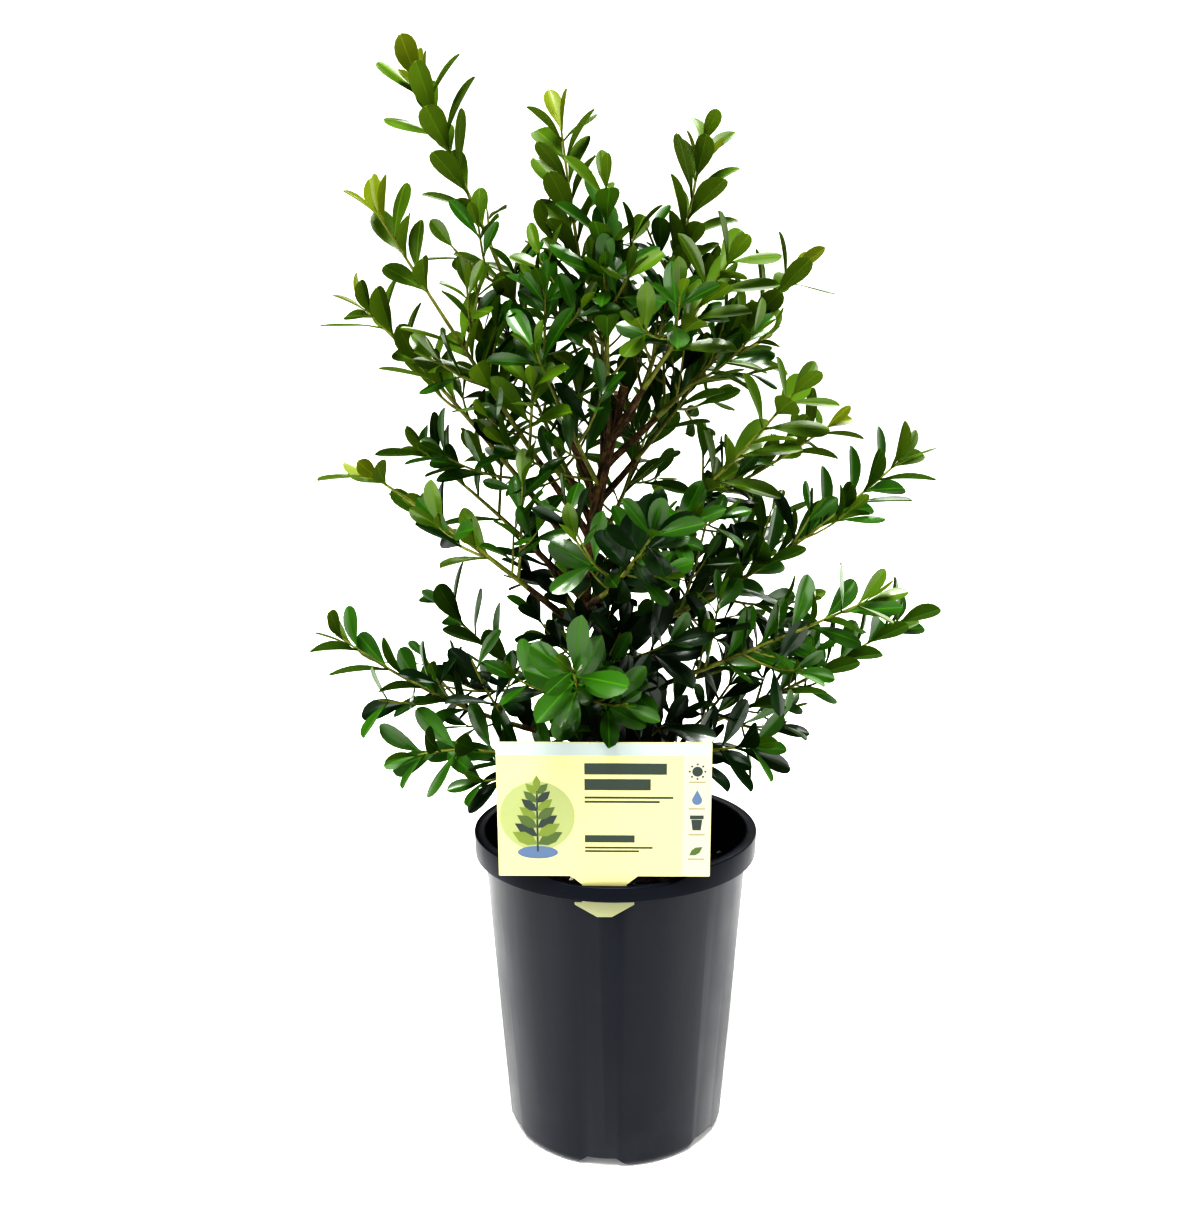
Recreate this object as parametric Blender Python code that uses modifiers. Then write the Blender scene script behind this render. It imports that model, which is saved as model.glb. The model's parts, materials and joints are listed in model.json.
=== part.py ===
"""An open, upright boxwood shrub in its round nursery pot, with the plant label in the rim.

The pot stands on z = 0 and the origin is at the middle of its underside. +Z is up, and -Y is the
side that the label faces. Lengths are metres. The shrub is one leaning trunk, boughs that stand
0.3 mm clear of it, and masses of twigs and leaves that grow on from the boughs by one seeded rule.
"""

import math
import random

import bmesh
import bpy
from mathutils import Matrix, Vector
from mathutils.bvhtree import BVHTree

GAP = 0.0003

# Pot, turned round the Z axis
POT_SIDES = 36
POT_HEIGHT = 0.154
RIM_RADIUS = 0.070
WALL_TOP_RADIUS = 0.0659
WALL_FOOT_RADIUS = 0.0540
FOOT_ROUND = 0.0045
WALL = 0.0014
FLOOR = 0.0020
LIP_DEPTH = 0.0117

# The rim dips where the label stands in it
DIP_TURN = math.radians(-88.5)
DIP_DEPTH = 0.0045
DIP_FLOOR = math.radians(17)
DIP_END = math.radians(34)

# Arched notches in the foot
NOTCHES = 6
NOTCH_TURN = math.radians(-97)
NOTCH_FOOT_WIDTH = 0.027
NOTCH_TOP_WIDTH = 0.014
NOTCH_HEIGHT = 0.0055
NOTCH_DEPTH = 0.013

# Potting mix
SOIL_DEPTH = 0.022
SOIL_TOP = POT_HEIGHT - SOIL_DEPTH
SOIL_EDGE_DROP = 0.003

# Plant label, cut from sheet: a panel, a neck through the rim and an arrow tip below the lip
LABEL_TURN = math.radians(-94.3)
LABEL_FACING = math.radians(-90.8)
LABEL_RADIUS = 0.0670
LABEL_LEAN = math.radians(5)
LABEL_WIDTH = 0.0944
LABEL_HEIGHT = 0.0640
LABEL_THICKNESS = 0.0005
NECK_TOP_WIDTH = 0.0300
NECK_WIDTH = 0.0200
ARROW_WIDTH = 0.0268
ARROW_TIP_WIDTH = 0.0065
ARROW_LENGTH = 0.0075
SLOT_WIDTH = NECK_WIDTH + 0.0012
SLOT_DEPTH = 0.0017

# Trunk: it bows to the left on its way up and ends in a pruned stub
TRUNK_FOOT = SOIL_TOP + GAP
TRUNK_TOP = 0.369
TRUNK_BOW = 0.018
TRUNK_LEAN = 0.004
TRUNK_SIDES = 8
TRUNK_RADII = ((0.0, 0.0062), (0.03, 0.0046), (0.08, 0.0037), (0.6, 0.0031), (1.0, 0.0022))
STUBS = ((0.352, 95, 0.008), (0.362, -120, 0.006))
STUB_RADIUS = 0.0013

# Boughs and the masses that grow on from them
BOUGH_SHARE = 0.25
BOUGH_SIDES = 5
BOUGH_RADIUS = 0.0019
BOUGH_TIP_RADIUS = 0.0014
STEM_RADIUS = 0.0012
STEM_TIP_RADIUS = 0.0005
STEM_STEPS = 4
ROOT_SINK = 0.0002
TWIG_RADIUS = 0.0008
SHORTEST_WITH_BOUGH = 0.111

# Leaves: opposite pairs, each pair a quarter turn from the last, larger than life for their count
LEAF_LENGTH = 0.030
LEAF_WIDTH = 0.0180
LEAF_THICKNESS = 0.0009
LEAF_WIDEST = 0.58
LEAF_CUP = 0.10
LEAF_SPREAD = math.radians(48)
TIP_SPREAD = math.radians(26)
PAIR_SPACING = 0.0210
TWIG_LENGTH = 0.046
TWIG_REACH = 0.55
TIP_LEAVES = 0.016
TWIG_SPREAD = math.radians(48)
SEED = 7

# Each limb: name, height where it leaves the trunk, heading (0 is +X, 90 is +Y, the back), reach from
# the pot's axis, height of its tip, and how far its middle sags below a straight line. Lengths are mm.
LIMBS = (
    ("top_left", 314, -171, 94, 515, -4),
    ("upper_left", 298, -157, 117, 453, 2),
    ("left_shoulder", 284, 175, 127, 413, -6),
    ("leader", 348, -169, 27, 500, 14),
    ("leader_front", 338, -95, 45, 466, 5),
    ("top_right", 345, 4, 44, 504, 32),
    ("upper_right_front", 346, -41, 76, 435, 0),
    ("upper_right", 332, 12, 95, 431, 3),
    ("right_front", 280, -30, 99, 378, 10),
    ("right_back", 296, 19, 124, 357, 8),
    ("right", 244, -4, 144, 346, 14),
    ("low_right", 190, 6, 156, 264, 12),
    ("low_right_front", 212, -26, 135, 283, 2),
    ("bottom_right", 174, -26, 88, 206, -6),
    ("low_left", 198, -174, 146, 264, 12),
    ("low_left_back", 212, 154, 114, 271, 8),
    ("left_front", 252, -153, 132, 341, -3),
    ("left_back", 268, 160, 114, 344, -4),
    ("bottom_left", 166, -159, 112, 198, -15),
    ("front_high", 322, -128, 66, 400, 3),
    ("front", 264, -78, 98, 320, 6),
    ("low_front", 222, -100, 104, 262, 6),
    ("bottom_front", 176, -60, 58, 226, 0),
    ("inner_left", 258, 152, 62, 318, 2),
    ("inner_front", 238, -58, 62, 264, 6),
    ("back_high", 330, 96, 70, 436, 4),
    ("back", 286, 78, 116, 364, 8),
    ("back_left", 304, 124, 106, 404, 4),
    ("low_back", 206, 98, 140, 262, 10),
    ("low_back_right", 234, 50, 132, 300, 8),
    ("back_right", 314, 46, 92, 404, 4),
)


def clear_scene():
    for obj in list(bpy.data.objects):
        bpy.data.objects.remove(obj)


def material(name, colour, roughness):
    """A plain Principled material. The colour is linear RGB."""
    made = bpy.data.materials.new(name)
    made.use_nodes = True
    shader = made.node_tree.nodes["Principled BSDF"]
    shader.inputs["Base Color"].default_value = (*colour, 1)
    shader.inputs["Roughness"].default_value = roughness
    shader.inputs["Metallic"].default_value = 0
    return made


def add_object(name, mesh, collection, finish=None):
    obj = bpy.data.objects.new(name, mesh)
    collection.objects.link(obj)
    if finish:
        mesh.materials.append(finish)
    return obj


def add_cutter(name, mesh, collection):
    cutter = add_object(name, mesh, collection)
    cutter.hide_render = True
    cutter.display_type = "WIRE"
    return cutter


def add_boolean(obj, operation, other):
    """A Boolean with one object, or with all of a collection."""
    modifier = obj.modifiers.new(operation.title(), "BOOLEAN")
    modifier.operation = operation
    if isinstance(other, bpy.types.Collection):
        modifier.operand_type = "COLLECTION"
        modifier.collection = other
    else:
        modifier.object = other
    return modifier


def apply_modifiers(obj):
    """Puts the evaluated mesh in place of the object's own."""
    graph = bpy.context.evaluated_depsgraph_get()
    mesh = bpy.data.meshes.new_from_object(obj.evaluated_get(graph))
    obj.modifiers.clear()
    obj.data = mesh


def turned(name, profile, collection, finish):
    """A solid of revolution. The profile is (radius, height) from the axis over the outside to the axis."""
    mesh = bpy.data.meshes.new(name)
    points = [(radius, 0, height) for radius, height in profile]
    mesh.from_pydata(points, [(i, i + 1) for i in range(len(points) - 1)], [])
    obj = add_object(name, mesh, collection, finish)
    screw = obj.modifiers.new("Turn", "SCREW")
    screw.steps = screw.render_steps = POT_SIDES
    screw.use_merge_vertices = True
    screw.merge_threshold = 0.00001
    return obj


def wall_radius(height):
    """The pot's outer wall: a straight taper."""
    return WALL_FOOT_RADIUS + (WALL_TOP_RADIUS - WALL_FOOT_RADIUS) * height / POT_HEIGHT


def box_mesh(name, size, place):
    form = bmesh.new()
    bmesh.ops.create_cube(form, size=1)
    bmesh.ops.transform(form, matrix=place @ Matrix.Diagonal((*size, 1)), verts=form.verts)
    mesh = bpy.data.meshes.new(name)
    form.to_mesh(mesh)
    form.free()
    return mesh


def notch_mesh(turn):
    """A wedge with a trapezoid face, wide at the ground, that points out from the pot's foot."""
    below = 0.001
    slope = (NOTCH_FOOT_WIDTH - NOTCH_TOP_WIDTH) / NOTCH_HEIGHT
    foot_width = NOTCH_FOOT_WIDTH + slope * below
    height = NOTCH_HEIGHT + below
    centre = Vector((wall_radius(0), 0, NOTCH_HEIGHT - height / 2))
    size = (2 * NOTCH_DEPTH, foot_width, height)
    mesh = box_mesh("notch", size, Matrix.Translation(centre))
    for vertex in mesh.vertices:
        if vertex.co.z > centre.z:
            vertex.co.y *= NOTCH_TOP_WIDTH / foot_width
    mesh.transform(Matrix.Rotation(turn, 4, "Z"))
    return mesh


def dip_rim(mesh):
    """Lowers the flat rim, and not the foot of its lip, over the stretch where the label stands."""
    for vertex in mesh.vertices:
        if vertex.co.z > POT_HEIGHT - 1.5 * WALL:
            away = Vector((vertex.co.x, vertex.co.y, 0)).angle(
                Vector((math.cos(DIP_TURN), math.sin(DIP_TURN), 0))
            )
            vertex.co.z -= DIP_DEPTH * min(1, max(0, (DIP_END - away) / (DIP_END - DIP_FLOOR)))


def label_place():
    """From the label's own flat drawing, X across and Y up from the rim, to its place in the slot."""
    out = Vector((math.cos(LABEL_TURN), math.sin(LABEL_TURN), 0)) * LABEL_RADIUS
    face_out = Matrix.Rotation(LABEL_FACING + math.pi / 2, 4, "Z")
    stand = Matrix.Rotation(math.pi / 2 + LABEL_LEAN, 4, "X")
    return Matrix.Translation(out + Vector((0, 0, POT_HEIGHT))) @ face_out @ stand


def add_pot(parts, cutters, finish):
    """A moulded shell: flat floor, tapered wall, and a flat rim with its lip turned down."""
    inner = WALL_TOP_RADIUS - WALL
    lip_inner = RIM_RADIUS - WALL
    foot = [
        (
            wall_radius(FOOT_ROUND) - FOOT_ROUND * (1 - math.cos(angle)),
            FOOT_ROUND * (1 - math.sin(angle)),
        )
        for angle in (0, math.pi / 6, math.pi / 3, math.pi / 2)
    ]
    profile = [
        (0, FLOOR),
        (wall_radius(FLOOR) - WALL - FOOT_ROUND / 2, FLOOR),
        (wall_radius(FOOT_ROUND) - WALL, FLOOR + FOOT_ROUND / 2),
        (inner, POT_HEIGHT - WALL),
        (inner + WALL / 2, POT_HEIGHT),
        (RIM_RADIUS - WALL / 2, POT_HEIGHT),
        (RIM_RADIUS, POT_HEIGHT - WALL / 2),
        (RIM_RADIUS - WALL / 4, POT_HEIGHT - LIP_DEPTH),
        (lip_inner, POT_HEIGHT - LIP_DEPTH),
        (lip_inner, POT_HEIGHT - WALL),
        (wall_radius(POT_HEIGHT - WALL), POT_HEIGHT - WALL),
        *foot,
        (0, 0),
    ]
    pot = turned("pot", profile, parts, finish)
    apply_modifiers(pot)
    dip_rim(pot.data)
    for i in range(NOTCHES):
        mesh = notch_mesh(NOTCH_TURN + i * math.tau / NOTCHES)
        add_boolean(pot, "DIFFERENCE", add_cutter(f"notch_{i}", mesh, cutters))
    slot_size = (SLOT_WIDTH, 4 * WALL, SLOT_DEPTH)
    through_rim = label_place() @ Matrix.Translation((0, -DIP_DEPTH - WALL / 2, 0))
    slot = add_cutter("label_slot", box_mesh("slot", slot_size, through_rim), cutters)
    add_boolean(pot, "DIFFERENCE", slot)
    return pot


def add_potting_mix(parts, finish):
    """The mix fills the pot, level round the trunk and a little lower at the wall."""
    floor = FLOOR + GAP

    def edge(height):
        return wall_radius(height) - WALL - GAP

    profile = [
        (0, SOIL_TOP),
        (0.6 * WALL_TOP_RADIUS, SOIL_TOP),
        (edge(SOIL_TOP), SOIL_TOP - SOIL_EDGE_DROP),
        (edge(2 * FOOT_ROUND) - GAP, 2 * FOOT_ROUND),
        (edge(FLOOR) - FOOT_ROUND, floor),
        (0, floor),
    ]
    return turned("potting_mix", profile, parts, finish)


def add_label(parts, finish):
    """A flat outline with a thickness, turned up into the rim's slot."""
    half = LABEL_WIDTH / 2
    shoulder = -LIP_DEPTH - 0.0012
    right = [
        (half, LABEL_HEIGHT),
        (half, 0),
        (NECK_TOP_WIDTH / 2, 0),
        (NECK_WIDTH / 2, GAP - DIP_DEPTH),
        (NECK_WIDTH / 2, shoulder),
        (ARROW_WIDTH / 2, shoulder),
        (ARROW_WIDTH / 2, shoulder - 0.0012),
        (ARROW_TIP_WIDTH / 2, shoulder - ARROW_LENGTH),
    ]
    outline = right + [(-x, y) for x, y in reversed(right)]
    curve = bpy.data.curves.new("plant_label", "CURVE")
    curve.dimensions = "2D"
    curve.fill_mode = "BOTH"
    curve.extrude = LABEL_THICKNESS / 2
    spline = curve.splines.new("POLY")
    spline.points.add(len(outline) - 1)
    for point, (x, y) in zip(spline.points, outline):
        point.co = (x, y, 0, 1)
    spline.use_cyclic_u = True
    label = add_object("plant_label", curve, parts, finish)
    label.matrix_world = label_place()
    return label


def trunk_point(height):
    """The trunk's axis at this height."""
    share = (height - TRUNK_FOOT) / (TRUNK_TOP - TRUNK_FOOT)
    return Vector((TRUNK_LEAN * share - TRUNK_BOW * math.sin(math.pi * share), 0, height))


def trunk_radius(height):
    """Straight tapers between the sizes in TRUNK_RADII, which flare at the foot."""
    share = (height - TRUNK_FOOT) / (TRUNK_TOP - TRUNK_FOOT)
    for (low, wide), (high, narrow) in zip(TRUNK_RADII, TRUNK_RADII[1:]):
        if share <= high:
            return wide + (narrow - wide) * (share - low) / (high - low)
    return TRUNK_RADII[-1][1]


def trunk_heading(height):
    step = 0.001
    return (trunk_point(height + step) - trunk_point(height - step)).normalized()


def rings_along(centres, headings, radii, sides):
    """Regular polygons across a line, with no twist from one to the next."""
    across = headings[0].orthogonal()
    turns = [math.tau * i / sides for i in range(sides)]
    rings = []
    for centre, heading, radius in zip(centres, headings, radii):
        across = (across - across.dot(heading) * heading).normalized()
        aside = heading.cross(across)
        rings.append([centre + radius * (math.cos(a) * across + math.sin(a) * aside) for a in turns])
    return rings


def lofted(rings):
    """Points and faces of a closed solid through rings of equal count."""
    points = [corner for corners in rings for corner in corners]
    sides = len(rings[0])
    faces = [tuple(reversed(range(sides)))]
    for base in range(sides, len(points), sides):
        for i in range(sides):
            j = (i + 1) % sides
            faces.append((base - sides + i, base - sides + j, base + j, base + i))
    faces.append(tuple(range(len(points) - sides, len(points))))
    return points, faces


def tube(path, radii, sides):
    """A tapering solid along a path of points."""
    last = len(path) - 1
    headings = [(path[min(i + 1, last)] - path[max(i - 1, 0)]).normalized() for i in range(last + 1)]
    return lofted(rings_along(path, headings, radii, sides))


def even_steps(low, high, steps):
    return [low + (high - low) * i / steps for i in range(steps + 1)]


def mesh_of(name, shape):
    mesh = bpy.data.meshes.new(name)
    mesh.from_pydata(shape[0], [], shape[1])
    return mesh


def add_trunk(parts, helpers, finish):
    """One tapered stem from the flat cut at soil level to its pruned top, with two pruned side stubs."""
    steps = 12
    shares = [0, 0.03, 0.08] + [i / steps for i in range(2, steps + 1)]
    heights = [TRUNK_FOOT + share * (TRUNK_TOP - TRUNK_FOOT) for share in shares]
    centres = [trunk_point(height) for height in heights]
    headings = [Vector((0, 0, 1))] + [trunk_heading(height) for height in heights[1:]]
    radii = [trunk_radius(height) for height in heights]
    shape = lofted(rings_along(centres, headings, radii, TRUNK_SIDES))
    trunk = add_object("trunk", mesh_of("trunk", shape), parts, finish)
    for i, (height, heading, length) in enumerate(STUBS):
        turn = math.radians(heading)
        away = Vector((math.cos(turn), math.sin(turn), 1)).normalized()
        start = trunk_point(height)
        shape = tube([start, start + away * length], [STUB_RADIUS, STUB_RADIUS * 0.9], BOUGH_SIDES)
        add_object(f"stub_{i}", mesh_of("stub", shape), helpers)
    add_boolean(trunk, "UNION", helpers)
    apply_modifiers(trunk)
    empty(helpers)
    return trunk


def empty(collection):
    for obj in list(collection.objects):
        bpy.data.objects.remove(obj)


class Limb:
    """One limb's line from the trunk's axis to its tip."""

    def __init__(self, row):
        self.name, rises, heading, reach, tip, sag = row
        turn = math.radians(heading)
        self.start = trunk_point(rises / 1000)
        self.tip = Vector((reach * math.cos(turn), reach * math.sin(turn), tip)) / 1000
        self.sag = sag / 1000
        self.length = (self.tip - self.start).length
        self.trunk_heading = trunk_heading(rises / 1000)
        self.trunk_radius = trunk_radius(rises / 1000)
        self.share = BOUGH_SHARE if self.length > SHORTEST_WITH_BOUGH else 0

    def point(self, share):
        dip = Vector((0, 0, self.sag * 4 * share * (1 - share)))
        return self.start.lerp(self.tip, share) - dip

    def heading(self, share):
        step = 0.01
        return (self.point(share + step) - self.point(share - step)).normalized()

    def against_trunk(self, radius, sides):
        """The limb's first ring, slid to the plane that lies a gap off the trunk, and the share past it."""
        along = self.heading(0)
        out = (along - along.dot(self.trunk_heading) * self.trunk_heading).normalized()
        clear = self.trunk_radius + GAP
        ring = rings_along([self.start], [along], [radius], sides)[0]
        cut = [p + along * (clear - (p - self.start).dot(out)) / along.dot(out) for p in ring]
        reach = max((corner - self.start).length for corner in cut)
        share = 0
        while True:
            away = self.point(share) - self.start
            if away.length > reach and away.dot(out) > clear + radius:
                return cut, share
            share += 0.005

    def tube(self, low, high, low_radius, high_radius, sides, steps):
        """The limb from one share of its length to another. At share 0 it is cut to fit the trunk."""
        shares = even_steps(low, high, steps)
        if low == 0:
            cut, clear = self.against_trunk(low_radius, sides)
            shares = [0] + even_steps(clear, high, steps - 1)
        centres = [self.point(share) for share in shares]
        headings = [self.heading(share) for share in shares]
        radii = even_steps(low_radius, high_radius, steps)
        rings = rings_along(centres, headings, radii, sides)
        if low == 0:
            rings[0] = cut
        return lofted(rings)


def leaf_shape(root, along, face, length, width, thickness):
    """Eight faces: root, widest place and tip of a blade cupped towards its upper face."""
    side = along.cross(face)
    middle = root + along * LEAF_WIDEST * length - face * LEAF_CUP * length
    rise = face * LEAF_CUP * length * 0.8
    points = [
        root,
        middle + side * width / 2 + rise,
        middle + face * thickness / 2,
        middle - side * width / 2 + rise,
        middle - face * thickness / 2,
        root + along * length,
    ]
    faces = [(0, 1 + i, 1 + (i + 1) % 4) for i in range(4)]
    faces += [(5, 1 + (i + 1) % 4, 1 + i) for i in range(4)]
    return points, faces


class Crown:
    """What has been grown so far, so that nothing touches another node's twig, leaf or limb."""

    def __init__(self, solids):
        self.taken = [(None, BVHTree.FromPolygons(points, faces)) for points, faces in solids]
        self.shapes = {}

    def fits(self, owner, shape):
        tree = BVHTree.FromPolygons(*shape)
        return not any(other != owner and tree.overlap(held) for other, held in self.taken)

    def add(self, owner, shape, grown):
        """Takes the shape where its grown copy, a gap larger, touches nothing of another owner."""
        if not self.fits(owner, grown):
            return False
        self.taken.append((owner, BVHTree.FromPolygons(*shape)))
        self.shapes.setdefault(owner, []).append(shape)
        return True


class Shoot:
    """A stem or a twig: its line, and what its leaves need to know."""

    def __init__(self, owner, path, radii):
        self.owner = owner
        self.path = path
        self.radii = radii
        self.lengths = [(b - a).length for a, b in zip(path, path[1:])]
        self.length = sum(self.lengths)

    def at(self, distance):
        """The point and the heading this far along."""
        for a, b, length in zip(self.path, self.path[1:], self.lengths):
            if distance <= length:
                break
            distance -= length
        heading = (b - a).normalized()
        return a + heading * min(distance, length), heading

    def shape(self, grow=0):
        return tube(self.path, [radius + grow for radius in self.radii], 3)


def side_twig(rng, limb, stem, distance, turn):
    """A twig that leaves its stem at a slant and bends towards the light."""
    root, heading = stem.at(distance)
    across = heading.orthogonal().normalized()
    aside = heading.cross(across)
    out = math.cos(turn) * across + math.sin(turn) * aside
    away = math.cos(TWIG_SPREAD) * heading + math.sin(TWIG_SPREAD) * out
    length = TWIG_LENGTH * rng.uniform(0.8, 1.15) * (1.15 - distance / stem.length)
    path = [root]
    steps = 2
    for _ in range(steps):
        path.append(path[-1] + away * length / steps)
        away = (away + Vector((0, 0, 0.30))).normalized()
    radii = [TWIG_RADIUS, TWIG_RADIUS * 0.8, STEM_TIP_RADIUS]
    return Shoot(limb.name, path, radii)


def grow_leaf(rng, crown, shoot, distance, turn, size, spread):
    """One leaf whose root is sunk past the middle of its stem."""
    root, heading = shoot.at(distance)
    across = heading.orthogonal().normalized()
    aside = heading.cross(across)
    out = math.cos(turn) * across + math.sin(turn) * aside
    spread *= rng.uniform(0.8, 1.2)
    along = (math.cos(spread) * heading + math.sin(spread) * out).normalized()
    face = (math.sin(spread) * heading - math.cos(spread) * out).normalized()
    length = LEAF_LENGTH * size * rng.uniform(0.85, 1.1)
    width = LEAF_WIDTH * length / LEAF_LENGTH
    root -= along * ROOT_SINK
    shape = leaf_shape(root, along, face, length, width, LEAF_THICKNESS)
    grown = leaf_shape(root, along, face, length + GAP, width + 2 * GAP, LEAF_THICKNESS + 3 * GAP)
    crown.add(shoot.owner, shape, grown)


def stem_of(limb):
    """The mass's main stem: it goes on along the limb's line from the bough, or from the trunk."""
    low = limb.share + (GAP / limb.length if limb.share else 0)
    high = 1 - TIP_LEAVES / limb.length
    shape = limb.tube(low, high, STEM_RADIUS, STEM_TIP_RADIUS, 3, STEM_STEPS)
    path = [limb.point(share) for share in even_steps(low, high, STEM_STEPS)]
    return shape, Shoot(limb.name, path, even_steps(STEM_RADIUS, STEM_TIP_RADIUS, STEM_STEPS))


def grow_twigs(rng, crown, limb, stem):
    """Twigs along the stem, each a third of a turn and a bit from the last, where there is room."""
    twigs = []
    count = max(2, round(stem.length / 0.034))
    turn = rng.uniform(0, math.tau)
    for i in range(count):
        turn += math.radians(137)
        distance = stem.length * (0.06 + TWIG_REACH * i / count)
        twig = side_twig(rng, limb, stem, distance, turn)
        if crown.add(limb.name, twig.shape(), twig.shape(GAP)):
            twigs.append(twig)
    return twigs


def grow_pairs(rng, crown, shoot, first):
    """Opposite leaves from tip to root, each pair a quarter turn from the one above."""
    turn = rng.uniform(0, math.tau)
    distance = shoot.length - 0.002
    size = 0.72
    spread = TIP_SPREAD
    while distance > first:
        for side in (turn, turn + math.pi):
            grow_leaf(rng, crown, shoot, distance, side, size, spread)
        distance -= PAIR_SPACING * rng.uniform(0.85, 1.15)
        turn += math.pi / 2
        size = min(size + 0.14, 1)
        spread = LEAF_SPREAD


def keep_outer_body(mesh):
    """Drops the loose scraps and fills the sealed hollows that a union can leave."""
    form = bmesh.new()
    form.from_mesh(mesh)
    bodies = []
    left = set(form.faces)
    while left:
        body = set()
        front = {left.pop()}
        while front:
            body |= front
            front = {near for face in front for edge in face.edges for near in edge.link_faces} - body
        left -= body
        bodies.append(body)
    bodies.sort(key=len)
    scraps = [face for body in bodies[:-1] for face in body]
    bmesh.ops.delete(form, geom=scraps, context="FACES")
    form.to_mesh(mesh)
    form.free()


def fuse_mass(name, shapes, parts, helpers, finish):
    """One union joins the stem, its twigs and its leaves."""
    mass = add_object(name, mesh_of(name, shapes[0]), parts, finish)
    for i, shape in enumerate(shapes[1:]):
        add_object(f"piece_{i}", mesh_of("piece", shape), helpers)
    add_boolean(mass, "UNION", helpers).solver = "MANIFOLD"
    apply_modifiers(mass)
    empty(helpers)
    keep_outer_body(mass.data)
    return mass


def world_shape(obj):
    """Points and faces of an object as the build reads it."""
    evaluated = obj.evaluated_get(bpy.context.evaluated_depsgraph_get())
    mesh = evaluated.to_mesh()
    points = [evaluated.matrix_world @ vertex.co for vertex in mesh.vertices]
    faces = [tuple(face.vertices) for face in mesh.polygons]
    evaluated.to_mesh_clear()
    return points, faces


def main():
    clear_scene()
    parts = bpy.data.collections.new("Boxwood in nursery pot")
    cutters = bpy.data.collections.new("Cutters")
    helpers = bpy.data.collections.new("Helpers")
    for collection in (parts, cutters, helpers):
        bpy.context.scene.collection.children.link(collection)

    plastic = material("Black polypropylene", (0.012, 0.013, 0.016), 0.42)
    mix = material("Potting mix", (0.020, 0.015, 0.011), 0.95)
    card = material("Printed plastic sheet", (0.80, 0.78, 0.38), 0.45)
    bark = material("Boxwood bark", (0.16, 0.10, 0.06), 0.85)
    leaf = material("Boxwood leaf", (0.045, 0.13, 0.03), 0.35)

    obstacles = [
        add_pot(parts, cutters, plastic),
        add_potting_mix(parts, mix),
        add_label(parts, card),
        add_trunk(parts, helpers, bark),
    ]
    limbs = [Limb(row) for row in LIMBS]
    for limb in limbs:
        if limb.share:
            sizes = (BOUGH_RADIUS, BOUGH_TIP_RADIUS, BOUGH_SIDES)
            shape = limb.tube(0, limb.share, *sizes, 3)
            name = f"bough_{limb.name}"
            obstacles.append(add_object(name, mesh_of(name, shape), parts, bark))
    bpy.context.view_layer.update()

    crown = Crown([world_shape(obj) for obj in obstacles])
    rng = random.Random(SEED)
    stems = {}
    for limb in limbs:
        shape, stem = stem_of(limb)
        if not crown.add(limb.name, shape, shape):
            raise ValueError(f"the stem of {limb.name} runs into another limb")
        stems[limb.name] = stem
    twigs = {limb.name: grow_twigs(rng, crown, limb, stems[limb.name]) for limb in limbs}
    for limb in limbs:
        for twig in twigs[limb.name]:
            grow_pairs(rng, crown, twig, 0.010)
    for limb in limbs:
        grow_pairs(rng, crown, stems[limb.name], 0.012)
    for limb in limbs:
        fuse_mass(f"foliage_{limb.name}", crown.shapes[limb.name], parts, helpers, leaf)


main()
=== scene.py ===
"""The finish of a potted boxwood shrub: an open, upright plant in its round nursery pot.

Lengths are metres, +Z is up, and the pot stands on z = 0 with its axis on the Z axis.
"""

import json
import math
import random

import bmesh
import bpy
from mathutils import Matrix, Vector, noise
from mathutils.bvhtree import BVHTree

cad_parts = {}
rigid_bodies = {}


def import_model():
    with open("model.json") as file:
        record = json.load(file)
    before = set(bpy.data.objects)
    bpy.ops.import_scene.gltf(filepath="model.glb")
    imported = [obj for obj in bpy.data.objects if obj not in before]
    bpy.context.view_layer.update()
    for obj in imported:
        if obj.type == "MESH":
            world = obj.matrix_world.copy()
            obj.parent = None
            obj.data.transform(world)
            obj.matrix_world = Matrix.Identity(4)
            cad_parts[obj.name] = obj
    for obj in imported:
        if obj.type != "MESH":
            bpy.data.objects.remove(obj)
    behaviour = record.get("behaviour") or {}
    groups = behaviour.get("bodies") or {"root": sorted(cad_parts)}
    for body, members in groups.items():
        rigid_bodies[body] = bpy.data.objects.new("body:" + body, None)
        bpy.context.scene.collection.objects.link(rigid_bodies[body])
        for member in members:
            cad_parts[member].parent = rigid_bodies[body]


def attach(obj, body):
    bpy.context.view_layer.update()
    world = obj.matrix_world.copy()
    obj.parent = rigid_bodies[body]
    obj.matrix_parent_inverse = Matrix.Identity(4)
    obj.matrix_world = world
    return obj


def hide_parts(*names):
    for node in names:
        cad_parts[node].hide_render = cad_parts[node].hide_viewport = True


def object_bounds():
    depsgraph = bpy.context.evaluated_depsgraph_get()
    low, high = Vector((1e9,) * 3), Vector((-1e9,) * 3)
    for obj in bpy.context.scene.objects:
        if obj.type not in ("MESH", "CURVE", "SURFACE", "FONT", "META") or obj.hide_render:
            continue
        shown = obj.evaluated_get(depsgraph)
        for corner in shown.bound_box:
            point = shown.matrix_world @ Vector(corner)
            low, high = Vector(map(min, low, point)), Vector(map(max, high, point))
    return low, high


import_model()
cad_box = [list(corner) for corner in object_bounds()]


# ---- Camera ----
# A camera on a stand in front of the pot, well above the middle of the plant. It looks about
# eleven degrees down, so that the rim of the pot reads as an ellipse.

camera = bpy.data.objects.new("camera", bpy.data.cameras.new("camera"))
bpy.context.scene.collection.objects.link(camera)
camera.location = (0, -0.600, 0.3718)
camera.rotation_euler = (math.pi / 2 - 0.187, 0, 0)
camera.data.sensor_width = 36
camera.data.lens = 37.36
camera.data.shift_x = -0.01276
camera.data.shift_y = 0.00971
camera.data.clip_start = 0.01
bpy.context.scene.camera = camera


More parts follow.
